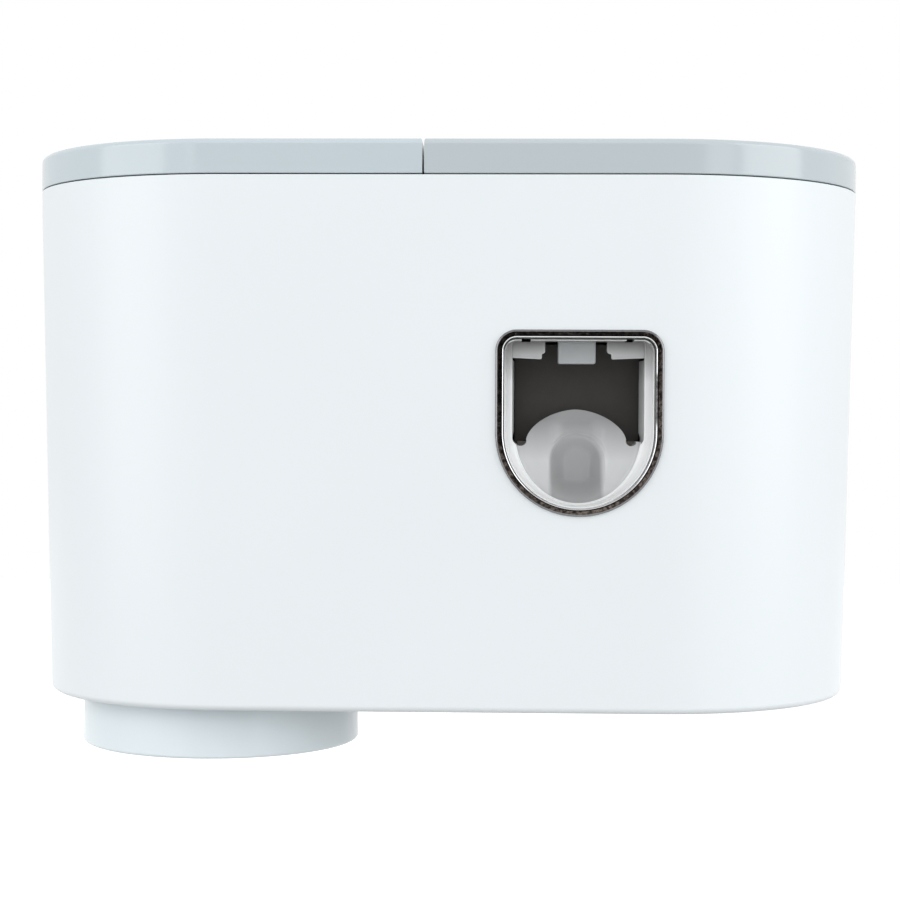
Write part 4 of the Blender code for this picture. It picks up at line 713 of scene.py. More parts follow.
# Each finish: its maker, its colour's setting, its roughness and what else the maker is given.
LOOKS = {
    "body plastic": (plastic, "body", 0.33, dict(mottle=60 * MM, shade=0.992, spec=0.42)),
    "left lid plastic": (plastic, "left_lid", 0.16, dict(mottle=40 * MM, spec=0.6)),
    "lid plastic": (plastic, "lid", 0.16, dict(mottle=40 * MM, spec=0.6)),
    "cup plastic": (plastic, "cup", 0.24, dict(mottle=40 * MM, shade=0.992)),
    "inner plastic": (plastic, "inner", 0.42, dict(peel=0.7 * MM, mottle=18 * MM, shade=0.97)),
    "frame plastic": (frame_plastic, "frame", 0.18, dict(peel=1.4 * MM, mottle=12 * MM)),
    "tab plastic": (tab_plastic, "tab", 0.20, dict(peel=1.0 * MM, mottle=8 * MM, shade=0.97)),
    "pusher plastic": (pusher_plastic, "pusher", 0.12, dict(peel=1.6 * MM, mottle=10 * MM)),
    "nozzle plastic": (plastic, "nozzle", 0.38, dict(peel=0.5 * MM, mottle=5 * MM, shade=0.95)),
    "charcoal plastic": (plastic, "charcoal", 0.55, dict(
        peel=0.4 * MM, mottle=9 * MM, depth=0.02 * MM, shade=0.88, spec=0.3)),
    "brown plastic": (plastic, "ledge", 0.5, dict(peel=0.4 * MM, mottle=4 * MM, shade=0.9)),
    "silicone": (plastic, "silicone", 0.55, dict(
        peel=0.5 * MM, mottle=6 * MM, depth=0.03 * MM, shade=0.94, sheen=0.15)),
    "pad foam": (plastic, "pad", 0.75, dict(
        peel=0.5 * MM, mottle=6 * MM, depth=0.12 * MM, shade=0.94, sheen=0.15)),
    "chrome": (plated, "chrome", 0.07, {}),
    "zinc steel": (metal, "steel", 0.28, {}),
    "plated magnet": (metal, "magnet", 0.35, {}),
}
FINISHES = {}


def finish(name):
    """The material of a name, made the first time that it is asked for."""
    if name not in FINISHES:
        maker, tint, rough, more = LOOKS[name]
        tint = getattr(bpy.context.scene.holder_colours, tint)
        FINISHES[name] = maker(name, tint, rough, **more)
    return FINISHES[name]


def dress(piece, material):
    piece.data.materials.clear()
    piece.data.materials.append(material)


def place(piece, body, slot, look, *nodes):
    """Gives a piece its finish, sets it on its body and lets it stand for its nodes."""
    dress(piece, finish(look))
    piece.modifiers.new("Even flats", "WEIGHTED_NORMAL").keep_sharp = True
    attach(piece, body)
    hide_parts(*nodes)


# ---------------------------------------------------------------- operators for the pieces


class HOLDER_OT_body_shell(bpy.types.Operator):
    """Make the white front and sides of the body"""

    bl_idname = "holder.body_shell"
    bl_label = "Body shell"

    def execute(self, context):
        sizes = context.scene.holder_sizes
        flat = sizes.body_width / 2 - sizes.corner_radius
        quarter = sizes.corner_radius * PI / 2
        side = sizes.body_depth - sizes.corner_radius + SHELL_HIGH.y
        right = np.concatenate([np.linspace(0, flat, 13), flat + np.linspace(0, quarter, 49)[1:],
                                flat + quarter + np.linspace(0, side, 7)[1:]])
        along = np.concatenate([-right[:0:-1], right])
        low, rim = SHELL_LOW.z, SHELL_HIGH.z
        inset_low, drop_low = fillet(sizes.bottom_fillet, 8).T
        inset_rim, drop_rim = fillet(sizes.rim_rounding, 3).T
        walls = np.linspace(low + sizes.bottom_fillet, rim - sizes.rim_rounding, 9)[1:-1]
        inner = np.linspace(rim, low, 7)
        z = np.concatenate([low + drop_low, walls, (rim - drop_rim)[::-1], inner])
        inset = np.concatenate([inset_low, np.zeros(len(walls)), inset_rim[::-1],
                                np.full(len(inner), sizes.shell_wall)])
        points = body_plan(along, z[:, None], inset[:, None], sizes)
        ends = fan(points[:, 0]), fan(points[:, -1])
        shell = shape("body_shell", [grid(points, close_rows=True), *ends])
        under = 0.12 * MM
        hole = [window_ring(TRIM_HALF - under, WINDOW_TOP - under, sizes.trim_corner - under, y)
                for y in (-sizes.body_depth - 5 * MM, BEZEL_LOW.y - 5 * MM, BEZEL_LOW.y + 2 * MM)]
        carve(shell, [solid("window hole", hole)])
        place(shell, "housing", "body_white", "body plastic", "front_shell")
        return {"FINISHED"}


class HOLDER_OT_lids(bpy.types.Operator):
    """Make the two pale grey lids with their hinge knuckles and the slot for the tube"""

    bl_idname = "holder.lids"
    bl_label = "Lids"

    def line(self, side, inset, small, sizes):
        """A lid's closed plan line.

        From the split along the front, round the corner, back, and along the hinge and the split.
        """
        flat = sizes.body_width / 2 - sizes.corner_radius
        end = side * (sizes.body_width / 2 - inset)
        front, rear = inset - sizes.body_depth, self.rear - small
        radius = sizes.corner_radius - inset
        split = self.split + side * (sizes.lid_gap / 2 + small)
        bend = front + radius
        turn = np.linspace(0, PI / 2, 49)
        steps = np.linspace(0, 1, 13)[:-1, None]
        round_x, round_y = side * (flat + radius * np.sin(turn)), bend - radius * np.cos(turn)
        runs = [((split, front), (side * flat, front)), ((end, bend), (end, rear)),
                ((end, rear), (split, rear)), ((split, rear), (split, front))]
        runs = [between(*np.array(run), steps) for run in runs]
        return np.concatenate([runs[0], np.column_stack((round_x, round_y))[:-1], *runs[1:]])

    def lid(self, word, side, sizes, look):
        """A cap hollow from below, with two bored knuckles for its pins and notches beside them."""
        top, low = LID_HIGH.z, LID_LOW.z
        wall, under = sizes.lid_wall, top - sizes.lid_wall
        rounding, joint = fillet(sizes.lid_rounding, 8), fillet(sizes.lid_joint_rounding, 8)
        levels = [(inset, small, top - drop) for (inset, drop), small in zip(rounding, joint[:, 0])]
        levels += [(a, a, low + b) for a, b in fillet(sizes.lid_low_rounding, 4)[::-1]]
        levels += [(wall, wall, low), (wall, wall, under)]
        rings = [raised(self.line(side, a, b, sizes), z) for a, b, z in levels]
        made = solid(f"{word}_lid_cap", rings)
        ends = ("outer", "inner") if side < 0 else ("inner", "outer")
        hinges = [middle_of(f"hinge_pin_{word}_{end}").x for end in ends]
        half, y, z = sizes.knuckle_width / 2, self.axis.y, self.axis.z
        carve(made, [level_rod("knuckle", x - half, x + half, y, z, sizes.knuckle_radius)
                     for x in hinges], "UNION")
        gap, notch, bore = 0.3 * MM, 5.6 * MM, 1.5 * MM
        cuts = []
        for x in hinges:
            cuts.append(level_rod("bore", x - 2 * half, x + 2 * half, y, z, bore, 32))
            cuts += [block("notch", (start, y - sizes.knuckle_radius - gap, low - MM),
                           (start + notch, self.rear + MM, top + MM))
                     for start in (x - half - notch, x + half)]
        if side > 0:
            cuts.append(self.tube_slot(sizes, top, under))
        carve(made, cuts)
        place(made, f"{word}_lid", "lid_grey", look, f"{word}_lid")

    def tube_slot(self, sizes, top, under):
        """A stadium that flares at the top by the slot's rounding."""
        tube, rounding = middle_of("tube_adapter"), sizes.slot_rounding
        levels = [(0.0, under - MM), *((a, top - b) for a, b in fillet(rounding)[::-1]),
                  (rounding, top + MM)]
        turn = np.linspace(-PI / 2, PI / 2, 33)
        reach = (sizes.slot_width - sizes.slot_depth) / 2
        rings = []
        for grow, z in levels:
            radius = sizes.slot_depth / 2 + grow
            side = np.column_stack((reach + radius * np.cos(turn), radius * np.sin(turn)))
            rings.append(raised((tube.x, tube.y) + np.concatenate((side, -side)), z))
        return solid("tube slot", rings)

    def execute(self, context):
        sizes = context.scene.holder_sizes
        self.axis = middle_of("hinge_pin_left_outer")
        self.rear = self.axis.y + 1.5 * MM
        self.split = (LID_HIGH.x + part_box("right_lid")[0].x) / 2
        self.lid("left", -1, sizes, "left lid plastic")
        self.lid("right", 1, sizes, "lid plastic")
        return {"FINISHED"}


class HOLDER_OT_window(bpy.types.Operator):
    """Make the plated ring round the window and the white frame behind it"""

    bl_idname = "holder.window"
    bl_label = "Window ring and frame"

    def ring(self, sizes):
        """A section of round outer edge, flat band and round inner edge follows the window's line.

        Each point keeps its share of the way across the section for the material.
        """
        width, back, proud = sizes.trim_width, 3.3 * MM, 0.8 * MM
        outer, inner = sizes.trim_outer_rounding, sizes.trim_inner_rounding
        steps = [(0.0, back), *fillet(outer)[::-1],
                 *((across, 0.0) for across in np.linspace(outer, width - inner, 7)[1:-1]),
                 *((width - inset, drop) for inset, drop in fillet(inner)), (width, back)]
        rings = []
        for inward, behind in steps:
            line = window_line(TRIM_HALF - inward, WINDOW_TOP - inward, sizes.trim_corner - inward)
            rings.append(upright(line, front_face(line[:, 1], sizes) - proud + behind))
        made = hoop("window_ring", rings)
        across = np.repeat([inward / width for inward, _ in steps], len(rings[0]))
        made.data.attributes.new("across", "FLOAT", "POINT").data.foreach_set("value", across)
        place(made, "housing", "chrome", "chrome", "window_trim")

    def frame(self, sizes):
        """Rings from the flange, over a thin lip at the mouth, down a hollow funnel and the throat.

        From the mouth to the throat the half width falls with a power of the depth, so the wall
        starts steep and turns to the front at its inner end. Overhead a higher power leaves a thin
        edge that faces the front. The lower end reaches further down than a half round, and its
        inner end stands before the pusher's edge.
        """
        front, rear = BEZEL_LOW.y, BEZEL_HIGH.y
        mouth, throat, funnel = sizes.frame_mouth, sizes.frame_throat, sizes.frame_funnel
        mouth_top, top = WINDOW_TOP - 2.72 * MM, WINDOW_TOP - 2.80 * MM
        deep_mouth, deep = mouth + 0.2 * MM, sizes.frame_low
        wall, flange, border, step = 1.5 * MM, 5.0 * MM, 4.9 * MM, 1.5 * MM
        root = throat + wall + (mouth - throat) / funnel * (funnel - flange)
        corner, tight = sizes.frame_corner, sizes.frame_throat_corner
        lip, edge, cover = 0.25 * MM, sizes.frame_edge, sizes.frame_lip
        side_power, top_power, top_share = 4, 10, 0.3
        outer = (mouth + border, mouth_top + border, deep_mouth + border)
        tube = (throat + wall, top + wall, deep + 1.1 * MM)
        plain = [(front + step, *outer), (front + flange, *outer),
                 (front + flange, root, *tube[1:]), (front + funnel, *tube), (rear, *tube)]
        rings = [window_ring(half, height, corner, y, low) for y, half, height, low in plain]
        rings.append(self.narrowed(window_ring(throat, top, tight, rear, deep), 0.5 * MM, 1))
        rings.append(window_ring(throat, top, tight, front + funnel + edge + 0.15 * MM, deep))
        for behind, aside in fillet(edge):
            line = window_ring(throat + aside, top + top_share * aside, tight,
                               front + funnel + behind, deep + aside)
            rings.append(self.narrowed(line, cover, -1))
        for share in np.linspace(1, 0, 25)[1:]:
            open_by, open_top = 1 - share ** side_power, 1 - share ** top_power
            line = window_ring(between(throat + edge, mouth, open_by),
                               between(top + top_share * edge, mouth_top, open_top),
                               between(tight, corner, open_by), front + between(lip, funnel, share),
                               between(deep + edge, deep_mouth, open_by))
            rings.append(self.narrowed(line, cover * (1 - open_by), -1))
        for across, behind in [*fillet(lip, 4)[::-1][1:], (lip, step)]:
            rings.append(window_ring(mouth + across, mouth_top + across, corner, front + behind,
                                     deep_mouth + across))
        made = hoop("window_frame", rings)
        outside = throat + wall + MM
        opening = block("opening", (WINDOW_X - outside, front + funnel + MM, top - 4.8 * MM),
                        (WINDOW_X + outside, rear + MM, top + 10 * MM))
        slots = slot_blocks((front - MM, top - 2 * MM), (front + funnel + 3 * MM, top + 0.75 * MM))
        carve(made, [opening, *slots])
        place(made, "housing", "bezel_white", "frame plastic", "window_bezel")

    def narrowed(self, ring, amount, side):
        """Moves part of a ring inward by an amount, eased over a little height at the ledge.

        Side -1 moves what lies below the pusher's ledge toward the round's middle, and side 1 moves
        what lies above it toward the upright middle line.
        """
        ledge, ease = -12.3 * MM, 2 * MM
        weight = eased(side * (ring[:, 2] - ledge) / ease)
        away = np.column_stack((ring[:, 0] - WINDOW_X, (ring[:, 2] - WINDOW_ROUND) * (side < 0)))
        reach = np.maximum(np.linalg.norm(away, axis=1), MM)
        moved = ring.copy()
        moved[:, [0, 2]] -= away / reach[:, None] * (amount * weight)[:, None]
        return moved

    def execute(self, context):
        sizes = context.scene.holder_sizes
        self.ring(sizes)
        self.frame(sizes)
        return {"FINISHED"}


NICHE_SHIFT = -0.4 * MM
BOWL_SHIFT = -0.15 * MM
FEET = -2.15 * MM
# Middle, from the pusher's, and half width of the notch beside each foot of the arch.
NOTCHES = ((-15.32 * MM, 1.52 * MM), (14.25 * MM, 1.25 * MM))


class HOLDER_OT_pusher(bpy.types.Operator):
    """Make the bowl that the brush presses, with its arched niche"""

    bl_idname = "holder.pusher"
    bl_label = "Pusher"

    def outline(self, half, sizes):
        """Half an ellipse below, a level stretch at each foot and a flattened arch above.

        The arch is a curve |x / a| ** n + |z / b| ** n = 1 with n a little under 2.
        """
        arch_half, arch_tall, power = 13.5 * MM, 8.55 * MM, 2 / 1.75
        tilt = np.arcsin(-FEET / sizes.bowl_low)
        low = np.linspace(PI + tilt, 2 * PI - tilt, 121)
        low = np.column_stack((half * np.cos(low) + BOWL_SHIFT, sizes.bowl_low * np.sin(low)))
        turn = np.linspace(0, PI, 81)
        across = np.sign(np.cos(turn)) * np.abs(np.cos(turn)) ** power
        arch = np.column_stack((NICHE_SHIFT + arch_half * across,
                                FEET + arch_tall * np.sin(turn) ** power))
        steps = np.linspace(0, 1, 14)[1:-1, None]
        return np.concatenate([low, between(low[-1], arch[0], steps), arch,
                               between(arch[-1], low[0], steps)])

    def depth(self, x, z, half, sizes):
        """An ellipsoid's depth out to its rim, eased into a flat niche with a bead on its arch."""
        rim = half - sizes.bowl_rim
        rim_low = np.where(z < 0, sizes.bowl_low - sizes.bowl_rim, rim)
        reach = np.clip(np.hypot((x - BOWL_SHIFT) / rim, z / rim_low), 0, 1)
        bowl = sizes.bowl_depth * np.sqrt(1 - reach ** 2)
        arch, floor, corner = sizes.niche_half, 1.6 * MM - sizes.bowl_low, 5.5 * MM
        top = np.hypot(x, np.maximum(z + arch, 0)) - arch
        low_x = np.maximum(np.abs(x) - arch + corner, 0)
        low_z = np.maximum(floor + corner - z, 0)
        inward = -np.where(z > floor + corner, top, np.hypot(low_x, low_z) - corner)
        ease = eased(inward / sizes.niche_slope)
        bead_tall, bead_half = 0.32 * MM, 0.42 * MM
        bead = bead_tall * np.exp(-((inward / bead_half) ** 2))
        fade = np.clip((z - floor - 1.5 * MM) / (5 * MM), 0, 1)
        return bowl + (np.maximum(sizes.niche_depth, bowl) - bowl) * ease - bead * fade

    def hollow(self, x, z, half_x, half_z, front):
        """A rod of oval section from front to behind the pusher: a notch or a pin's socket."""
        across, up = circle(48)
        y = np.array([[front], [PUSHER_HIGH.y + MM]])
        return solid("hollow", points_at(x + half_x * across, y, z + half_z * up))

    def socket(self, name):
        """The hollow for a guide pin, deep enough for the pusher's whole stroke."""
        gap = 0.3 * MM
        low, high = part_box(name)
        radius = (high.x - low.x) / 2 + gap
        return self.hollow((low.x + high.x) / 2, (low.z + high.z) / 2, radius, radius,
                           low.y - STROKE - gap)

    def ledge(self, half):
        """A brown strip between pusher and press plate that shows through the notches."""
        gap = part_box("press_plate")[0].y - PUSHER_HIGH.y
        reach, top, tall, bevel = half - 0.6 * MM, PUSHER_ROUND - 2.3 * MM, 1.6 * MM, 0.25 * MM
        section = np.array([(0.0, bevel), (bevel, 0.0), (tall, 0.0), (tall, gap), (0.0, gap)])
        x = np.linspace(PUSHER_X - reach, PUSHER_X + reach, 9)[:, None]
        y, z = PUSHER_HIGH.y + section[:, 1], top - section[:, 0]
        made = solid("pusher_ledge", points_at(x, y, z))
        place(made, "pusher", "charcoal", "brown plastic")

    def execute(self, context):
        """The outline is drawn together toward a pole, closer to the edge, and each point sinks."""
        sizes = context.scene.holder_sizes
        half = (PUSHER_HIGH.x - PUSHER_LOW.x) / 2 + 0.2 * MM
        pole = np.array((0.0, -6.0 * MM))
        share = 1 - (1 - np.linspace(0, 1, 111)[1:]) ** 1.15
        flat = between(pole, self.outline(half, sizes), share[::-1, None, None])
        y = PUSHER_LOW.y + self.depth(flat[..., 0], flat[..., 1], half, sizes)
        front = upright(flat + (PUSHER_X, PUSHER_ROUND), y)
        rear = front[0].copy()
        rear[:, 1] = PUSHER_HIGH.y
        side = np.stack((rear, front[0]))
        made = shape("brush_pusher", [grid(front, close_columns=True), fan(front[-1]),
                                      grid(side, close_columns=True), fan(rear)])
        notches = [self.hollow(PUSHER_X + x, PUSHER_ROUND + FEET, half_x, 1.25 * MM,
                               PUSHER_LOW.y - MM) for x, half_x in NOTCHES]
        carve(made, [*notches, self.socket("guide_pin_left"), self.socket("guide_pin_right")])
        place(made, "pusher", "bezel_white", "pusher plastic", "pusher")
        self.ledge(half)
        return {"FINISHED"}


class HOLDER_OT_tube_channel(bpy.types.Operator):
    """Make the channel block, with the two stepped tabs that hang at the window's top"""

    bl_idname = "holder.tube_channel"
    bl_label = "Tube channel"

    def tab(self, outer, inner, step, wing, front):
        """An outline with rounded corners, carried back through a round front edge."""
        low, ledge, top = wing - 5.95 * MM, wing - 4.55 * MM, wing + 0.4 * MM
        bend = min(0.9, abs(inner - step) / MM - 0.3)
        line = rounded_line([(outer, top, 0.6), (outer, low + 0.35 * MM, 0.6), (step, low, 0.6),
                             (step, ledge, 0.25), (inner, ledge + 0.2 * MM, bend),
                             (inner, top, 0.6)])
        levels = [(0.5 * MM, 0.0), *fillet(0.42 * MM, 5), (0.0, 2.5 * MM)]
        rings = np.stack([upright(drawn_in(line, inset), front + drop) for inset, drop in levels])
        return shape("tab", [grid(rings, close_columns=True), flat_cap(rings[0]),
                             flat_cap(rings[-1])])

    def execute(self, context):
        made = welded_copy("channel_block", "tube_channel")
        low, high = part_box("channel_block")
        wing, front = low.z + 5.7 * MM, low.y
        carve(made, [block("old tabs", (low.x - MM, front - MM, low.z - MM),
                           (high.x + MM, front + 3 * MM, wing - 0.05 * MM))])
        tabs = ((-17.9 * MM, -9.0 * MM, -9.85 * MM), (17.6 * MM, 7.4 * MM, 8.55 * MM))
        carve(made, [self.tab(*(PUSHER_X + x for x in tab), wing, front) for tab in tabs], "UNION")
        carve(made, slot_blocks((front - MM, wing - 1.4 * MM), (front + 6 * MM, wing - 0.15 * MM)))
        place(made, "housing", "inner_white", "tab plastic", "channel_block")
        return {"FINISHED"}


class HOLDER_OT_nozzle(bpy.types.Operator):
    """Make the grey block that the paste comes from"""

    bl_idname = "holder.nozzle"
    bl_label = "Nozzle"

    def execute(self, context):
        middle = (NOZZLE_LOW + NOZZLE_HIGH) / 2 - Vector((0.55 * MM, 0, 0))
        half = (NOZZLE_HIGH - NOZZLE_LOW) / 2 - Vector((0.2 * MM, 0, 0))
        corner, least = 0.5 * MM, 1e-9
        turn = np.column_stack(circle(96))
        core = np.array((half.x - corner, half.y - corner))

        def box_line(inset):
            """Each direction meets a rectangle whose corners are rounded."""
            reach = (np.array(half.xy) - inset) / np.maximum(np.abs(turn), least)
            line = np.abs(reach.min(axis=1)[:, None] * turn)
            beyond = np.maximum(line - core, 0)
            both = (beyond > 0).all(axis=1)
            size = np.linalg.norm(beyond, axis=1)
            shrink = np.where(both & (size > corner - inset),
                              (corner - inset) / np.maximum(size, least), 1)
            return np.sign(np.round(turn, 9)) * (np.minimum(line, core) + beyond * shrink[:, None])

        low, high = NOZZLE_LOW.z, NOZZLE_HIGH.z
        seat, neck, mouth, bore = low + 1.2 * MM, 2.5 * MM, 1.9 * MM, 1.6 * MM
        levels = [(neck * turn, seat), (neck * turn, high), (box_line(0.0), high),
                  *((box_line(inset), low + drop) for inset, drop in fillet(corner, 4)[::-1]),
                  (mouth * turn, low), (bore * turn, low + 0.3 * MM), (bore * turn, seat)]
        made = hoop("paste_nozzle", [raised(line + (middle.x, middle.y), z) for line, z in levels])
        place(made, "housing", "nozzle_grey", "nozzle plastic", "nozzle")
        return {"FINISHED"}


class HOLDER_OT_cup(bpy.types.Operator):
    """Make the rinse cup, stored mouth down"""

    bl_idname = "holder.cup"
    bl_label = "Rinse cup"

    def execute(self, context):
        sizes = context.scene.holder_sizes
        radius = (CUP_HIGH.x - CUP_LOW.x) / 2
        base = radius - sizes.cup_taper
        low, high, wall = CUP_LOW.z, CUP_HIGH.z, sizes.cup_wall
        inner, inner_top = base - wall, high - 4.5 * MM
        edge, lip, inner_lip = 3.0 * MM, 0.9 * MM, 0.45 * MM
        cap_low, cap_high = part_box("cup_base_cap")
        gap = 0.3 * MM
        recess = (cap_high.x - cap_low.x) / 2 + gap
        profile = [(recess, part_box("cup_steel_disc")[0].z - gap), (recess, high)]
        profile += [(base - a, high - b) for a, b in fillet(edge, 8)]
        profile += [(radius - a, low + b) for a, b in fillet(lip, 5)[::-1]]
        profile += [(radius - wall + a, low + b) for a, b in fillet(inner_lip, 3)]
        profile += [(inner - b, inner_top - a) for a, b in fillet(edge)]
        made = turned("rinse_cup_body", (CUP_LOW + CUP_HIGH) / 2, profile, 144)
        place(made, "cup", "cup_white", "cup plastic", "rinse_cup")
        return {"FINISHED"}


class HOLDER_OT_squeezed(bpy.types.Operator):
    """Make the pump bulb and the return springs as short as they are with the pusher pressed"""

    bl_idname = "holder.squeezed"
    bl_label = "Bulb and springs"

    def squeezed(self, name, new_name, front, look, slot, shoulder):
        """A copy of a node, drawn back toward its rear end below its shoulder to start at front."""
        low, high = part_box(name)
        made = welded_copy(name, new_name)
        mesh = made.data
        points = np.empty(len(mesh.vertices) * 3)
        mesh.vertices.foreach_get("co", points)
        points = points.reshape(-1, 3)
        moving = points[:, 2] < shoulder
        share = (high.y - front) / (high.y - low.y)
        points[moving, 1] = high.y - share * (high.y - points[moving, 1])
        mesh.vertices.foreach_set("co", points.ravel())
        smooth(mesh)
        place(made, "housing", slot, look, name)

    def execute(self, context):
        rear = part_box("return_spring_left")[0].y + STROKE
        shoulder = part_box("channel_block")[0].z + 5.2 * MM
        self.squeezed("pump_bulb", "squeezed_bulb", rear, "silicone", "silicone", shoulder)
        for side in ("left", "right"):
            self.squeezed(f"return_spring_{side}", f"short_spring_{side}", rear, "zinc steel",
                          "steel", np.inf)
        return {"FINISHED"}


def tidy_normals():
    """A modifier tree that drops loose triangles' own normals and smooths all but sharp edges."""
    tree = bpy.data.node_groups.new("smooth by angle", "GeometryNodeTree")
    for way in ("INPUT", "OUTPUT"):
        tree.interface.new_socket("Geometry", in_out=way, socket_type="NodeSocketGeometry")
    start, end = node(tree, "NodeGroupInput"), tree.nodes.new("NodeGroupOutput")
    own = node(tree, "GeometryNodeRemoveAttribute", Geometry=start.outputs[0], Name="custom_normal")
    faces = node(tree, "GeometryNodeSetShadeSmooth", Geometry=own.outputs["Geometry"])
    angle = node(tree, "GeometryNodeInputMeshEdgeAngle").outputs["Unsigned Angle"]
    sharp = node(tree, "FunctionNodeCompare", A=angle, B=SHARP_ANGLE)
    sharp.operation = "GREATER_THAN"
    edges = node(tree, "GeometryNodeSetShadeSmooth", Geometry=faces.outputs["Geometry"],
                 Selection=sharp.outputs["Result"], Shade_Smooth=False)
    edges.domain = "EDGE"
    give(end, Geometry=edges.outputs["Geometry"])
    return tree


class HOLDER_OT_frame_nodes(bpy.types.Operator):
    """Give the frame's other nodes their finishes and soften their edges"""

    bl_idname = "holder.frame_nodes"
    bl_label = "Inner and rear pieces"

    finishes = {
        "lid plastic": ("hinge_rail",),
        "inner plastic": ("back_plate", "wall_plate", "partition_wall", "cup_deck", "storage_tray",
                          "brush_rack", "tube_adapter"),
        "body plastic": ("bottom_cover",),
        "cup plastic": ("cup_base_cap",),
        "charcoal plastic": ("dispenser_case", "case_rear_cover", "press_plate"),
        "silicone": ("inlet_valve", "outlet_valve", "adapter_seal"),
        "pad foam": ("adhesive_pad",),
        "zinc steel": ("cup_steel_disc", "guide_pin_left", "guide_pin_right",
                       *(name for name in NODES if "hinge_pin_" in name or "_screw_" in name)),
        "plated magnet": ("cup_magnet",),
    }
    # Widths in mm of the softened edges.
    softened = {"hinge_rail": 0.3, "back_plate": 0.3, "wall_plate": 0.4, "storage_tray": 0.4,
                "brush_rack": 0.5, "bottom_cover": 0.3, "tube_adapter": 0.25, "dispenser_case": 0.3,
                "partition_wall": 0.3, "adhesive_pad": 0.2}

    def soften(self, piece, width):
        """Joins coplanar triangles and rounds the edges between flat faces."""
        flatten = piece.modifiers.new("Flat faces", "DECIMATE")
        flatten.decimate_type = "DISSOLVE"
        flatten.angle_limit = np.radians(0.5)
        edge = piece.modifiers.new("Soft edges", "BEVEL")
        edge.width = width
        edge.segments = 3
        edge.limit_method = "ANGLE"
        edge.angle_limit = np.radians(50)

    def execute(self, context):
        smoother = tidy_normals()
        for look, members in self.finishes.items():
            for member in members:
                piece = NODES[member]
                dress(piece, finish(look))
                piece.modifiers.new("Weld", "WELD").merge_threshold = NODE_WELD_DISTANCE
                if member in self.softened:
                    self.soften(piece, self.softened[member] * MM)
                piece.modifiers.new("Smooth", "NODES").node_group = smoother
        return {"FINISHED"}


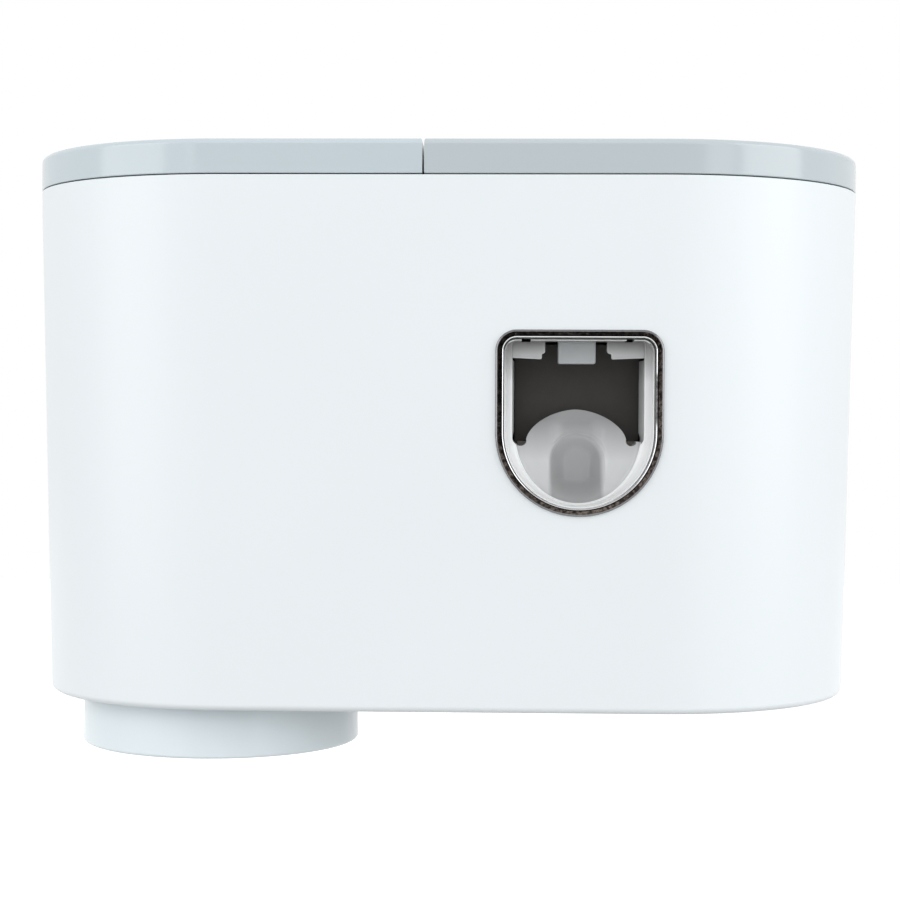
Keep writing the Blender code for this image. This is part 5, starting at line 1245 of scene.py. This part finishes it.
class HOLDER_OT_stage(bpy.types.Operator):
    """Make the floor, the lamps, the white surround and the camera"""

    bl_idname = "holder.stage"
    bl_label = "Stage"

    target = Vector((0.0, -0.05, 0.0))
    lamp_distance = 1.1
    white = (1, 1, 1, 1)
    black = (0, 0, 0, 1)

    def lamp(self, name, power, azimuth, elevation, size):
        """A soft rectangle aimed at the holder, at angles from straight ahead, + to the right."""
        turn, rise = np.radians(azimuth), np.radians(elevation)
        away = Vector((np.sin(turn) * np.cos(rise), -np.cos(turn) * np.cos(rise), np.sin(rise)))
        light = bpy.data.lights.new(name, "AREA")
        light.shape = "RECTANGLE"
        light.size, light.size_y = size
        light.energy = power
        made = linked(name, light)
        made.location = self.target + away * self.lamp_distance
        made.rotation_euler = (-away).to_track_quat("-Z", "Y").to_euler()
        made.visible_camera = False

    def seen_rays(self, tree):
        """1 for rays that the camera sees directly, in a reflection or through something clear."""
        rays = node(tree, "ShaderNodeLightPath").outputs
        seen = reckon(tree, "MAXIMUM", rays["Is Camera Ray"], rays["Is Glossy Ray"])
        return reckon(tree, "MAXIMUM", seen, rays["Is Transmission Ray"])

    def floor(self, drop):
        """A wide pale floor that lightens to white away from the holder."""
        reach, z = 4.0, CAD_BOUNDS[0][2] - drop
        ends = np.linspace(-reach, reach, 9)
        made = shape("floor", [grid(points_at(*np.meshgrid(ends, ends), z))])
        paint, tree, shader = new_material("pale floor")
        surface = group_in(tree, moulded_surface, Peel_Size=0.02, Mottle_Size=0.8)
        away = away_from(tree, (self.target.x, self.target.y, z))
        near, far, dim = 0.45, 1.3, 0.72
        lift = spread(tree, away, near, far, dim, 1.0)
        give(shader, Base_Color=mixed(tree, surface["Mottle"], [0.39] * 3, [0.41] * 3),
             Roughness=0.9, Specular_IOR_Level=0.0, Emission_Color=self.white,
             Emission_Strength=product(tree, lift, self.seen_rays(tree)))
        dress(made, paint)

    def surround(self, strength):
        world = bpy.data.worlds.new("white surround")
        bpy.context.scene.world = world
        world.use_nodes = True
        tree = world.node_tree
        give(tree.nodes["Background"], Color=self.white,
             Strength=spread(tree, self.seen_rays(tree), 0, 1, strength, 1.0))

    def dark_card(self):
        """A card behind the camera that reflections see: black in a round spot, brown beyond it."""
        y, black, brown = -0.80, (0.012, 0.011, 0.011), (0.30, 0.27, 0.25)
        spot, black_to, brown_from = (0.03, y, 0.05), 0.085, 0.14
        x, z = np.meshgrid(np.linspace(-0.34, 0.42, 3), np.linspace(-0.30, 0.30, 3))
        made = shape("dark card", [grid(points_at(x, y, z))])
        paint, tree, shader = new_material("dark card")
        mask = spread(tree, away_from(tree, spot), black_to, brown_from)
        give(shader, Emission_Color=mixed(tree, mask, black, brown), Emission_Strength=1.0,
             Base_Color=self.black, Specular_IOR_Level=0.0, Roughness=1.0)
        dress(made, paint)
        made.visible_camera = made.visible_diffuse = False
        made.visible_transmission = made.visible_shadow = False

    def camera(self):
        """The photograph's view: a long lens level with the body's middle, a bit to the right."""
        place = Vector((0.01837, -0.62983, -0.00473))
        yaw, pitch, roll = -0.02983, 0.01963, 0.00453
        data = bpy.data.cameras.new("camera")
        data.sensor_width = 36
        data.lens = 80.81
        made = linked("camera", data)
        forward = Vector((np.sin(yaw) * np.cos(pitch), np.cos(yaw) * np.cos(pitch), -np.sin(pitch)))
        level = Vector((np.cos(yaw), -np.sin(yaw), 0))
        upward = level.cross(forward)
        right = np.cos(roll) * level + np.sin(roll) * upward
        up = np.cos(roll) * upward - np.sin(roll) * level
        turn = Matrix((right, up, -forward)).transposed()
        made.matrix_world = Matrix.Translation(place) @ turn.to_4x4()
        bpy.context.scene.camera = made

    def execute(self, context):
        stage = context.scene.holder_stage
        context.scene.view_settings.view_transform = "Standard"
        self.surround(stage.surround)
        self.floor(stage.floor_drop)
        self.dark_card()
        self.lamp("left lamp", stage.left_lamp, -59, 14, (0.75, 0.9))
        self.lamp("right lamp", stage.right_lamp, 67, 17, (0.70, 0.9))
        self.lamp("front lamp", stage.front_lamp, 8, 6, (1.5, 0.8))
        self.camera()
        return {"FINISHED"}


# ---------------------------------------------------------------- panel and registration


OPERATORS = (
    HOLDER_OT_body_shell,
    HOLDER_OT_lids,
    HOLDER_OT_window,
    HOLDER_OT_pusher,
    HOLDER_OT_tube_channel,
    HOLDER_OT_nozzle,
    HOLDER_OT_cup,
    HOLDER_OT_squeezed,
    HOLDER_OT_frame_nodes,
    HOLDER_OT_stage,
)
SETTINGS = {"holder_sizes": HolderSizes, "holder_colours": HolderColours,
            "holder_stage": HolderStage}


class HOLDER_PT_panel(bpy.types.Panel):
    """Lists the holder's operators and settings"""

    bl_idname = "HOLDER_PT_panel"
    bl_label = "Toothbrush holder"
    bl_space_type = "VIEW_3D"
    bl_region_type = "UI"
    bl_category = "Holder"

    def draw(self, context):
        for operator in OPERATORS:
            self.layout.operator(operator.bl_idname)
        for group in SETTINGS:
            settings, box = getattr(context.scene, group), self.layout.box()
            for name in settings.__annotations__:
                box.prop(settings, name)


def register():
    for made in (*SETTINGS.values(), *OPERATORS, HOLDER_PT_panel):
        bpy.utils.register_class(made)
    for name, group in SETTINGS.items():
        setattr(bpy.types.Scene, name, bpy.props.PointerProperty(type=group))


def unregister():
    for name in SETTINGS:
        delattr(bpy.types.Scene, name)
    for made in (HOLDER_PT_panel, *reversed(OPERATORS), *reversed(SETTINGS.values())):
        bpy.utils.unregister_class(made)


def main():
    register()
    for operator in OPERATORS:
        module, name = operator.bl_idname.split(".")
        getattr(getattr(bpy.ops, module), name)()


if __name__ == "__main__":
    main()
